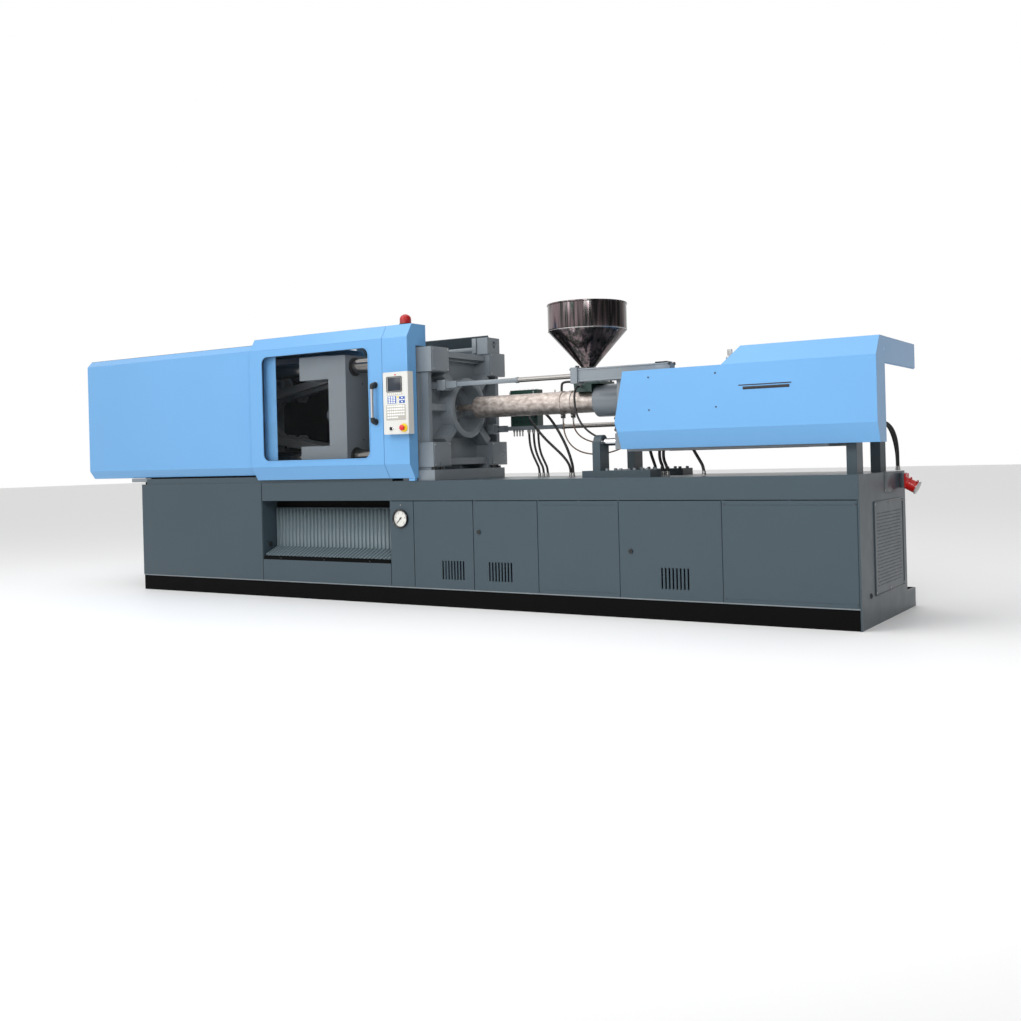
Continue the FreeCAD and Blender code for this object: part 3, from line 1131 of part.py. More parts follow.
def injection_cover():
    """Folded cover of the injection unit: stepped front, top sheets and a flanged right end."""
    t = "sheet_thick"
    front = "-cover_y"
    outline = [("cover_lip_x", "cover_z_bend"), ("cover_x_right", "cover_z_bend"),
               ("cover_x_right", "cover_z_step"), ("cover_x_step_low", "cover_z_step"),
               ("cover_x_left", "cover_z_step"), ("cover_notch_x", "cover_notch_z")]
    face = plate("Cover face", "xz", outline, front, t)
    lower = plate("Cover foot", "yz", [(front, "cover_z_bend"), (f"{front} + {t}", "cover_z_bend + 2"),
                                       (f"{front} + cover_tuck + {t}", "cover_z_low + 2"),
                                       (f"{front} + cover_tuck", "cover_z_low")],
                  "cover_lip_x", "cover_x_right - cover_lip_x")
    shoulder = plate("Cover shoulder", "yz", [(front, "cover_z_step"), (f"{front} + {t}", "cover_z_step - 2"),
                                              (f"{front} + cover_shoulder + {t}", "cover_z_high - 4"),
                                              (f"{front} + cover_shoulder", "cover_z_high")],
                     "cover_x_step_low", "cover_x_right - cover_x_step_low")
    beyond_step = plate("Beyond step", "xz", [("cover_x_step_low - 30", "cover_z_step - 6"),
                                              ("cover_x_step_low", "cover_z_step"),
                                              ("cover_x_step_high", "cover_z_high"),
                                              ("cover_x_step_high", "cover_z_high + 20"),
                                              ("cover_x_step_low - 30", "cover_z_high + 20")],
                        f"{front} - 10", "cover_shoulder + 30")
    low_top = box(("cover_x_left + 4", "cover_x_step_low + 2"), (f"{front} + 1", "cover_y"),
                  (f"cover_z_step - {t}", "cover_z_step"))
    step = plate("Cover step", "xz", [("cover_x_step_low", f"cover_z_step - {t}"),
                                      ("cover_x_step_low", "cover_z_step"),
                                      ("cover_x_step_high", "cover_z_high"),
                                      ("cover_x_step_high + 4", f"cover_z_high - {t}")],
                 front, "2 * cover_y")
    beyond_shoulder = plate("Beyond shoulder", "yz", [(f"{front} - 20", "cover_z_step - 6"),
                                                      (front, "cover_z_step"),
                                                      (f"{front} + cover_shoulder", "cover_z_high"),
                                                      (f"{front} + cover_shoulder", "cover_z_high + 20"),
                                                      (f"{front} - 20", "cover_z_high + 20")],
                            "cover_x_step_low - 10", "cover_x_step_high - cover_x_step_low + 30")
    high_top = box(("cover_x_step_high", "cover_x_right"), (f"{front} + cover_shoulder", "cover_y"),
                   (f"cover_z_high - {t}", "cover_z_high"))
    end = ("cover_x_right - sheet_thick", "cover_x_right")
    end_front = plate("Cover end front", "yz", [(front, "cover_z_bend"), (f"{front} + cover_tuck", "cover_z_low"),
                                                (f"{front} + cover_end_front", "cover_z_low"),
                                                (f"{front} + cover_end_front", "cover_z_high - 2"),
                                                (f"{front} + cover_shoulder", "cover_z_high - 1"),
                                                (front, "cover_z_step")], end[0], t)
    end_top = box(end, (f"{front} + cover_end_front - 1", "cover_y"),
                  ("cover_z_high - cover_end_top", "cover_z_high"))
    posts = [box(("block_2_right + 190", "block_2_right + 230"), y, ("base_top", f"cover_z_high - {t}"))
             for y in (("-base_half + 20", "-base_half + 40"), ("base_half - 40", "base_half - 20"))]
    stays = [box(("pull_body_right + 30", "pull_body_right + 70"), y, ("base_top", f"cover_z_step - {t}"))
             for y in (("-base_half + 20", "-base_half + 40"), ("base_half - 40", "base_half - 20"))]
    slot = box(("cover_x_left - 20", "pull_body_right + 12"),
               ("-pull_y - pull_body_half - 6", "-pull_y + pull_body_half + 6"),
               ("cover_z_step - 20", "cover_z_step + 20"))
    return fuse("injection_cover", cut("Trimmed shoulder", shoulder, beyond_step),
                cut("Trimmed step", step, beyond_shoulder), cut("Slotted top", low_top, slot),
                face, lower, high_top, end_front, end_top, *posts, *stays)


def pull_places():
    """Y and Z of the two carriage cylinders: near side high, far side low."""
    return (("-pull_y", "axis_height + pull_z"), ("pull_y", "axis_height - pull_z"))


def carriage_rods():
    """Arms and piston rods, fixed in the stationary platen, that pull the injection unit."""
    items = []
    for y, z in pull_places():
        half = "pull_arm_half"
        arm = box(("pull_arm_left", "pull_arm_right"), (f"{y} - {half}", f"{y} + {half}"),
                  (f"{z} - {half}", f"{z} + {half}"))
        knuckle = box(("fixed_back", "pull_arm_left + 110"), (f"{y} - {half} - 9", f"{y} + {half} + 9"),
                      (f"{z} - {half} - 9", f"{z} + {half} + 9"))
        piston = rod("x", (None, y, z), ("pull_arm_right - 30", "pull_rod_right"), "pull_rod")
        items.append(fuse("Pull rod", arm, knuckle, piston))
    return group("carriage_rods", *items)


def carriage_cylinders():
    """Two hydraulic cylinders that draw the injection unit to the mould."""
    items = []
    for y, z in pull_places():
        head = box(("pull_head_left", "pull_head_right"), (f"{y} - pull_head_half", f"{y} + pull_head_half"),
                   (f"{z} - pull_head_half", f"{z} + pull_head_half"))
        tube = box(("pull_head_right", "pull_body_right"), (f"{y} - pull_body_half", f"{y} + pull_body_half"),
                   (f"{z} - pull_body_half", f"{z} + pull_body_half"))
        bore = rod("x", (None, y, z), ("pull_head_left - 1", "pull_body_right - 20"), "pull_rod + run_clearance")
        items.append(cut("Pull cylinder", fuse("Pull blank", head, tube), bore))
    return group("carriage_cylinders", *items)


def water_manifold():
    """Cooling water manifold on the far carriage arm, with three hose tails underneath."""
    block = box(("manifold_left", "manifold_right"), ("manifold_front", "manifold_rear"),
                ("manifold_low", "manifold_high"))
    tails = [rod("z", (f"manifold_left + 120 + {n} * 40", "manifold_rear - 18", None),
                 ("manifold_low - port_length", "manifold_low + 1"), "port_radius") for n in range(3)]
    return fuse("water_manifold", block, *tails)


# ---------------------------------------------------------------- hoses

HOSES = {
    "fixed_hoses": [
        (17, [(310, 362, 1229), (310, 362, 1150), (330, 360, 1065), (372, 357, 985), (398, 355, 938),
              (398, 355, 880)]),
        (17, [(350, 362, 1229), (350, 362, 1148), (366, 364, 1062), (398, 368, 988), (424, 372, 940),
              (424, 372, 880)]),
        (17, [(390, 362, 1229), (390, 362, 1150), (402, 366, 1060), (430, 376, 990), (452, 384, 940),
              (452, 384, 880)]),
        (20, [(400, 300, 1420), (400, 222, 1420), (455, 168, 1400), (530, 150, 1376), (600, 146, 1330),
              (660, 148, 1255), (715, 152, 1165), (760, 158, 1070), (786, 164, 980), (792, 168, 940),
              (792, 168, 880)]),
        (19, [(400, 300, 1340), (400, 220, 1340), (442, 168, 1298), (500, 160, 1232), (565, 162, 1160),
              (635, 170, 1095), (700, 180, 1035), (745, 190, 975), (757, 196, 925), (757, 196, 880)]),
    ],
    "barrel_leads": [
        (10, [(819, 0, 1292), (819, 0, 1240), (830, -6, 1186), (862, -18, 1130), (912, -30, 1084),
              (978, -40, 1052), (1056, -46, 1036), (1140, -48, 1034), (1220, -48, 1046),
              (1290, -48, 1068), (1338, -48, 1090), (1390, -48, 1090)]),
        (10, [(900, 0, 1292), (900, 0, 1244), (912, 8, 1198), (944, 20, 1158), (994, 32, 1130),
              (1056, 42, 1114), (1126, 48, 1108), (1200, 50, 1112), (1270, 50, 1122), (1332, 50, 1130),
              (1390, 50, 1130)]),
        (14, [(1030, -110, 1500), (1030, -164, 1500), (1030, -204, 1458), (1031, -210, 1385),
              (1042, -208, 1312), (1070, -200, 1245), (1116, -188, 1190), (1180, -172, 1148),
              (1250, -160, 1122), (1322, -158, 1112), (1390, -158, 1112)]),
    ],
    "carriage_hoses": [
        (20, [(1505, -60, 1165), (1505, -60, 1100), (1516, -60, 1030), (1540, -60, 965), (1552, -60, 926),
              (1552, -60, 884)]),
        (20, [(1612, -100, 1165), (1612, -100, 1105), (1598, -100, 1045), (1600, -100, 985),
              (1624, -100, 932), (1624, -100, 884)]),
        (20, [(1660, -140, 1165), (1660, -140, 1105), (1645, -140, 1045), (1646, -140, 985),
              (1672, -140, 932), (1672, -140, 884)]),
        (20, [(1850, -180, 1165), (1850, -180, 1110), (1872, -180, 1050), (1908, -180, 990),
              (1942, -180, 934), (1942, -180, 884)]),
        (17, [(2790, 240, 1180), (2852, 240, 1180), (2900, 285, 1192), (2930, 345, 1188), (2950, 400, 1150),
              (2966, 428, 1084), (2978, 436, 1012), (2982, 438, 950), (2982, 438, 884)]),
        (17, [(2790, 190, 1180), (2856, 190, 1180), (2912, 232, 1192), (2956, 292, 1188), (2980, 350, 1150),
              (2992, 388, 1088), (2996, 404, 1016), (2996, 406, 955), (2996, 406, 884)]),
    ],
}


def route_wire(points):
    """Straight runs joined by tangent arcs, each as large as its two runs allow."""
    places = [Vector(*point) for point in points]
    edges, radii = [], []
    start = places[0]
    for before, corner, after in zip(places, places[1:], places[2:]):
        inward, outward = corner - before, after - corner
        turn = inward.getAngle(outward)
        shorter = min(inward.Length, outward.Length)
        radius = 0.45 * shorter / math.tan(turn / 2)
        setback = 0.45 * shorter
        unit_in, unit_out = inward / inward.Length, outward / outward.Length
        first, last = corner - unit_in * setback, corner + unit_out * setback
        bisector = (unit_out - unit_in) / (unit_out - unit_in).Length
        middle = corner + bisector * (math.hypot(radius, setback) - radius)
        edges.append(Part.LineSegment(start, first).toShape())
        edges.append(Part.Arc(first, middle, last).toShape())
        radii.append(radius)
        start = last
    edges.append(Part.LineSegment(start, places[-1]).toShape())
    return Part.Wire(edges), radii


def hose_bundle(label, runs):
    """Hoses of one bundle, each a plain tube swept along its route."""
    solids = []
    for number_in, (diameter, points) in enumerate(runs, start=1):
        wire, radii = route_wire(points)
        direction = Vector(*points[1]) - Vector(*points[0])
        circle = Part.Wire(Part.Circle(Vector(*points[0]), direction, diameter / 2).toShape())
        tube = wire.makePipeShell([circle], True, True)
        section = math.pi * diameter ** 2 / 4
        ratio = tube.Volume / (section * wire.Length)
        print(f"{label} {number_in}: length {wire.Length:.0f}, least radius {min(radii):.0f},"
              f" volume ratio {ratio:.4f}")
        solids.append(tube)
    item = doc.addObject("Part::Feature", "Hoses")
    item.Shape = Part.makeCompound(solids) if len(solids) > 1 else solids[0]
    item.Label = label
    return item


def build():
    """Every node of the machine."""
    nodes = [base_frame(), bed_top_frame(), bed_bulkheads(), side_panels(), chute_plate(),
             pressure_gauge(), gauge_needle()]
    nodes.append(door("door_1", "gauge_right", "door_2_left - seam", "gauge_right + slots_1"))
    nodes.append(door("door_2", "door_2_left", "door_2_right", "door_2_left + slots_2",
                      ("door_2_lock", "lock_2_height")))
    nodes.append(door("door_3", "door_3_left", "door_3_right", "door_3_left + slots_3",
                      ("door_3_lock", "lock_3_height")))
    nodes.append(door_lock("door_2_lock", "door_2_lock", "lock_2_height"))
    nodes.append(door_lock("door_3_lock", "door_3_lock", "lock_3_height"))
    nodes += [end_panel(), end_grille(), power_socket(), socket_flap(), pump_motor()]
    nodes += [fixed_platen(), tie_bars(), moving_platen(), ejector(), tail_platen(), clamp_cylinder(),
              crosshead(), *toggle_links()]
    nodes += [*clamp_covers(), gate("front_gate", -1, "gate_left", "gate_right"), gate_window(),
              gate_handle(), gate("rear_gate", 1, "rear_gate_left", "rear_gate_right"),
              control_column(), panel_box(), panel_face(), e_stop_button(), key_switch(), beacon()]
    nodes += [guide_rods(), injection_base(), injection_housing(), injection_drive(), barrel(), screw(),
              heater_bands(), throat_block(), hopper(), injection_cover(), carriage_rods(),
              carriage_cylinders(), water_manifold()]
    nodes += [hose_bundle(label, runs) for label, runs in HOSES.items()]
    return nodes


def check_and_write(nodes):
    """Stop on any failed object, then write each node's shape to its own file."""
    doc.recompute()
    failed = [item.Label for item in doc.Objects if "Invalid" in item.State or "Error" in item.State]
    for node in nodes:
        if node.Shape.isNull() or not node.Shape.isValid() or not node.Shape.Solids:
            failed.append(node.Label)
    if failed:
        raise SystemExit("failed: " + ", ".join(failed))
    os.makedirs("parts", exist_ok=True)
    for node in nodes:
        node.Shape.exportStep(f"parts/{node.Label}.step")
    print(f"{len(nodes)} nodes written")


check_and_write(build())
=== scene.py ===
"""Looks of the injection moulding machine: finishes, fittings, hoses, floor, light and camera.

Everything is in metres in the machine's own frame: X runs from the clamp to the injection unit, Y from
the operator's side to the rear, Z up from the floor.
"""

import logging
import math
from dataclasses import dataclass, field
from enum import Enum
from typing import Any, Iterable, Sequence

import bmesh
import bpy
from mathutils import Matrix, Vector

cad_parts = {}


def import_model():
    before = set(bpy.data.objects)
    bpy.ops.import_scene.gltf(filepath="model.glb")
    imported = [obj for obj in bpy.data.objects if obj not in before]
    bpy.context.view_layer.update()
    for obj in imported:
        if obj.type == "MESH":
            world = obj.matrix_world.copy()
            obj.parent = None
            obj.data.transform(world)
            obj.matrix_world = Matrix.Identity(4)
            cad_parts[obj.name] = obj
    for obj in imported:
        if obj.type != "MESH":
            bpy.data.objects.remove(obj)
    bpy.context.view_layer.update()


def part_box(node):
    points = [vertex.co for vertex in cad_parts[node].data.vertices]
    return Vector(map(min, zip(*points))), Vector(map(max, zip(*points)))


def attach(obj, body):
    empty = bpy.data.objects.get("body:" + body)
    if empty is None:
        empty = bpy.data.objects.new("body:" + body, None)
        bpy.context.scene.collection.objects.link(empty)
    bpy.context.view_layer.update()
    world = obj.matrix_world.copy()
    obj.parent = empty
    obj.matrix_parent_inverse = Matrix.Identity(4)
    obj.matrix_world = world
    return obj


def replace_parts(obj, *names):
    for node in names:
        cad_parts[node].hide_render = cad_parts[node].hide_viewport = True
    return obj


LOG = logging.getLogger("machine")
Point = Sequence[float]
Colour = tuple[float, float, float]
SIDES = (-1, 1)
FINISH = "finish_"


class Axis(Enum):
    """Directions of the machine's frame."""

    X = Vector((1, 0, 0))
    Y = Vector((0, 1, 0))
    Z = Vector((0, 0, 1))


# ------------------------------------------------------------------ shader graph


class Sock:
    """A shader socket that Python arithmetic acts on."""

    def __init__(self, graph: "Graph", socket: bpy.types.NodeSocket) -> None:
        """Wrap a socket of a graph."""
        self.graph, self.socket = graph, socket

    def math(self, operation: str, *others: Any) -> "Sock":
        """Result of one Math node on this value and others."""
        values = {index: value for index, value in enumerate((self, *others))}
        return self.graph.out("ShaderNodeMath", {"operation": operation}, values)

    def _flip(self, operation: str, other: float) -> "Sock":
        """Result of a Math node with a number first."""
        return self.graph.out("ShaderNodeMath", {"operation": operation}, {0: other, 1: self})

    def __add__(self, other: Any) -> "Sock":
        """Sum."""
        return self.math("ADD", other)

    def __sub__(self, other: Any) -> "Sock":
        """Difference."""
        return self.math("SUBTRACT", other)

    def __mul__(self, other: Any) -> "Sock":
        """Product."""
        return self.math("MULTIPLY", other)

    def __truediv__(self, other: Any) -> "Sock":
        """Quotient."""
        return self.math("DIVIDE", other)

    def __rsub__(self, other: float) -> "Sock":
        """Number less this value."""
        return self._flip("SUBTRACT", other)

    __radd__ = __add__
    __rmul__ = __mul__

    def above(self, edge: float) -> "Sock":
        """1 where the value is over the edge."""
        return self.math("GREATER_THAN", edge)

    def below(self, edge: float) -> "Sock":
        """1 where the value is under the edge."""
        return self.math("LESS_THAN", edge)

    def ramp(self, low: float, high: float) -> "Sock":
        """Value stretched so that low is 0 and high is 1, and clamped."""
        return self.graph.out("ShaderNodeMapRange", {"clamp": True}, {0: self, 1: low, 2: high, 3: 0.0, 4: 1.0})


class Graph:
    """Node tree of one material."""

    def __init__(self, name: str) -> None:
        """Start a material with its Principled shader."""
        self.material = bpy.data.materials.new(FINISH + name)
        self.material.use_nodes = True
        self.tree = self.material.node_tree
        self.shader = next(n for n in self.tree.nodes if n.type == "BSDF_PRINCIPLED")

    def node(self, kind: str, settings: dict[str, Any] | None = None,
             values: dict[Any, Any] | None = None) -> bpy.types.Node:
        """Add a node.

        Args:
            kind: type of the node.
            settings: its own settings, set first; stops are a ramp's.
            values: numbers or links for its sockets.

        Returns:
            The node.
        """
        node = self.tree.nodes.new(kind)
        for key, value in (settings or {}).items():
            if key == "stops":
                ramp = node.color_ramp
                for place, colour in value[2:]:
                    ramp.elements.new(place).color = (*colour, 1)
                for element, (place, colour) in zip(ramp.elements, sorted(value)):
                    element.position, element.color = place, (*colour, 1)
            else:
                setattr(node, key, value)
        for key, value in (values or {}).items():
            self.feed(node.inputs[key], value)
        return node

    def out(self, kind: str, settings: dict[str, Any] | None = None, values: dict[Any, Any] | None = None,
            output: Any = 0) -> Sock:
        """One output of a new node, ready for arithmetic."""
        return Sock(self, self.node(kind, settings, values).outputs[output])

    def feed(self, socket: bpy.types.NodeSocket, value: Any) -> None:
        """Link a value to a socket, or set the socket's own number."""
        if isinstance(value, Sock):
            self.tree.links.new(value.socket, socket)
        elif isinstance(value, tuple) and len(value) == 3 and socket.type == "RGBA":
            socket.default_value = (*value, 1)
        else:
            socket.default_value = value

    def mix(self, factor: Any, first: Any, second: Any) -> Sock:
        """Two colours mixed by a factor."""
        return self.out("ShaderNodeMix", {"data_type": "RGBA"}, {0: factor, 6: first, 7: second}, 2)

    def place(self, stretch: Point = (1, 1, 1)) -> Sock:
        """Position on the object, stretched along its axes."""
        spot = self.out("ShaderNodeTexCoord", output="Object")
        return self.out("ShaderNodeVectorMath", {"operation": "MULTIPLY"}, {0: spot, 1: tuple(stretch)})

    def axis(self, letter: str, of: str = "Object") -> Sock:
        """One coordinate of the position, or of the surface's direction."""
        source = self.out("ShaderNodeTexCoord", output=of)
        return self.out("ShaderNodeSeparateXYZ", None, {0: source}, letter)

    def noise(self, scale: float, detail: float = 3.0, stretch: Point = (1, 1, 1)) -> Sock:
        """Noise over the surface."""
        values = {"Vector": self.place(stretch), "Scale": scale, "Detail": detail}
        return self.out("ShaderNodeTexNoise", None, values, 0)

    def set(self, **values: Any) -> None:
        """Feed sockets of the Principled shader, named with underscores."""
        for key, value in values.items():
            self.feed(self.shader.inputs[key.replace("_", " ")], value)

    def bump(self, height: Sock, strength: float, distance: float, edge: float = 0.0) -> None:
        """Feed the shader's Normal from a height and, where edge is over 0, softened edges."""
        values: dict[Any, Any] = {"Height": height, "Strength": strength, "Distance": distance}
        if edge:
            values["Normal"] = self.out("ShaderNodeBevel", {"samples": 4}, {"Radius": edge})
        self.set(Normal=self.out("ShaderNodeBump", None, values))


# ------------------------------------------------------------------ finishes


@dataclass(frozen=True)
class Enamel:
    """Sprayed machine enamel: orange peel, faint drift in shade, dust on top and scuffs low down."""

    name: str
    colour: Colour
    roughness: float = 0.32
    coat: float = 0.25
    peel: float = 0.12
    drift: float = 0.06
    dust: float = 0.10
    scuff: float = 0.25
    edge: float = 0.0025
    shine: float = 0.5

    def tone(self, g: Graph) -> Sock:
        """Base colour with its drift, dust and scuffs."""
        dark = tuple(c * (1 - self.drift) for c in self.colour)
        light = tuple(min(1.0, c * (1 + self.drift)) for c in self.colour)
        shade = g.mix(g.noise(1.7, 4), dark, light)
        top = g.axis("Z", "Normal").ramp(0.75, 1.0) * g.noise(6, 5).ramp(0.35, 0.8) * self.dust
        shade = g.mix(top, shade, (0.55, 0.54, 0.52))
        low = (1.0 - g.axis("Z").ramp(0.0, 0.3)) * g.noise(14, 6).ramp(0.52, 0.72) * self.scuff
        return g.mix(low, shade, (0.03, 0.03, 0.03))

    def make(self) -> bpy.types.Material:
        """Material of the finish."""
        g = Graph(self.name)
        rough = self.roughness + (g.noise(9, 4) - 0.5) * 0.14
        g.set(Base_Color=self.tone(g), Roughness=rough, Coat_Weight=self.coat, Coat_Roughness=0.12)
        g.set(Specular_IOR_Level=self.shine)
        g.bump(g.noise(420, 2), self.peel, 0.0006, self.edge)
        return g.material


@dataclass(frozen=True)
class CastPaint(Enamel):
    """Enamel over rough castings: sand grain under the paint and oily runs."""

    def make(self) -> bpy.types.Material:
        """Material of the finish."""
        g = Graph(self.name)
        oil = g.noise(3, 5, (1, 1, 0.25)).ramp(0.5, 0.75)
        rough = self.roughness + (g.noise(16, 4) - 0.5) * 0.25 - oil * 0.1
        shade = g.mix(oil * 0.35, self.tone(g), tuple(c * 0.55 for c in self.colour))
        g.set(Base_Color=shade, Roughness=rough, Coat_Weight=self.coat, Coat_Roughness=0.2)
        grain = g.noise(150, 4) + g.noise(28, 3) * 1.5
        g.bump(grain, self.peel, 0.0012, self.edge)
        return g.material


@dataclass(frozen=True)
class Metal:
    """Bare metal: ground or polished, with marks along one direction."""

    name: str
    colour: Colour
    roughness: float = 0.25
    grain: Point = (2, 60, 60)
    mark: float = 0.08
    stain: Colour = (0.25, 0.2, 0.16)
    stained: float = 0.12

    def make(self) -> bpy.types.Material:
        """Material of the finish."""
        g = Graph(self.name)
        lines = g.noise(9, 5, self.grain)
        cloud = g.noise(5, 5).ramp(0.42, 0.78)
        shade = g.mix(cloud * self.stained, self.colour, self.stain)
        rough = self.roughness + (lines - 0.5) * self.mark * 2 + cloud * self.stained * 0.4
        g.set(Base_Color=shade, Metallic=1.0, Roughness=rough)
        g.bump(lines, self.mark, 0.0004)
        return g.material


@dataclass(frozen=True)
class HeatTinted:
    """Steel that runs hot: straw and brown mottling, dull scale and fine turning marks."""

    name: str

    def make(self) -> bpy.types.Material:
        """Material of the finish."""
        g = Graph(self.name)
        cloud = g.noise(26, 8, (1, 1.6, 1.6))
        shade = g.out("ShaderNodeValToRGB", {"stops": [
            (0.25, (0.27, 0.225, 0.20)), (0.75, (0.74, 0.69, 0.65)), (0.45, (0.46, 0.40, 0.365)),
            (0.6, (0.58, 0.52, 0.48))]}, {0: cloud})
        turning = g.noise(6, 2, (160, 1, 1))
        g.set(Base_Color=shade, Metallic=0.9, Roughness=0.36 + g.noise(40, 5) * 0.22)
        g.bump(turning + g.noise(260, 3), 0.12, 0.0006)
        return g.material


@dataclass(frozen=True)
class StreakedPaintedReflection:
    """Spun stainless sheet, mirror bright, with a painted reflection in its colour as upright dark, rose and light
    streaks, and dulled bands.
    """

    name: str
    # Colours of the painted reflection: dark surroundings, a rose glint and bright highlights.
    dark: Colour = (0.022, 0.032, 0.028)
    rose: Colour = (0.22, 0.165, 0.175)
    light: Colour = (0.86, 0.83, 0.83)

    def make(self) -> bpy.types.Material:
        """Material of the finish."""
        g = Graph(self.name)
        broad = g.noise(2.4, 3, (5.5, 5.5, 0.5))
        fine = g.noise(7, 4, (9, 9, 0.35))
        # Painted reflection: upright streaks of the three colours in the base colour.
        shade = g.out("ShaderNodeValToRGB", {"stops": [
            (0.30, self.dark), (0.74, self.light), (0.44, self.rose), (0.56, self.dark), (0.64, self.rose)]},
            {0: broad * 0.7 + fine * 0.3})
        g.set(Base_Color=shade, Metallic=1.0, Roughness=0.09 + fine * 0.1)
        g.bump(g.noise(5, 3, (2, 2, 1)), 0.12, 0.004)
        return g.material


@dataclass(frozen=True)
class Plastic:
    """Moulded plastic or rubber with a fine grain."""

    name: str
    colour: Colour
    roughness: float = 0.45
    grain: float = 0.15
    coat: float = 0.0
    dirt: float = 0.1

    def make(self) -> bpy.types.Material:
        """Material of the finish."""
        g = Graph(self.name)
        cloud = g.noise(30, 5).ramp(0.5, 0.8)
        shade = g.mix(cloud * self.dirt, self.colour, tuple(c * 0.5 + 0.04 for c in self.colour))
        g.set(Base_Color=shade, Roughness=self.roughness + (g.noise(60, 3) - 0.5) * 0.12, Coat_Weight=self.coat)
        g.bump(g.noise(900, 2), self.grain, 0.0003)
        return g.material


@dataclass(frozen=True)
class Clear:
    """Clear pane or lamp cover."""

    name: str
    colour: Colour = (0.012, 0.016, 0.018)
    roughness: float = 0.03
    alpha: float = 0.05

    def make(self) -> bpy.types.Material:
        """Material of the finish."""
        g = Graph(self.name)
        smear = g.noise(4, 6, (1, 1, 2)).ramp(0.5, 0.8)
        g.set(Base_Color=self.colour, Roughness=self.roughness + smear * 0.12, Alpha=self.alpha + smear * 0.03)
        return g.material


@dataclass(frozen=True)
class Screen:
    """Dark display glass with a faint painted glow mixed into its colour."""

    name: str
    colour: Colour = (0.01, 0.012, 0.015)
    glow: Colour = (0.02, 0.03, 0.05)

    def make(self) -> bpy.types.Material:
        """Material of the finish."""
        g = Graph(self.name)
        veil = g.noise(18, 3)
        # Painted glow: a bluish tint in the base colour, with no light of its own.
        g.set(Base_Color=g.mix(veil, self.colour, self.glow), Roughness=0.22 + veil * 0.06)
        return g.material


@dataclass(frozen=True)
class Perforated(Enamel):
    """Enamelled sheet with close rows of small round holes, drawn as dark dots of painted shade and as dents in the
    bump.
    """

    pitch: float = 0.016

    def make(self) -> bpy.types.Material:
        """Material of the finish."""
        g = Graph(self.name)
        across = (g.axis("X") / self.pitch).math("FRACT") - 0.5
        up = (g.axis("Z") / self.pitch).math("FRACT") - 0.5
        # The holes are not cut: dark dots of painted shade stand in for them.
        painted_hole_shade = (across * across + up * up).below(0.075)
        g.set(Base_Color=g.mix(painted_hole_shade, self.tone(g), (0.01, 0.01, 0.012)), Roughness=self.roughness + painted_hole_shade * 0.4)
        g.set(Coat_Weight=self.coat)
        g.bump(g.noise(420, 2) - painted_hole_shade * 2, 0.3, 0.001, self.edge)
        return g.material


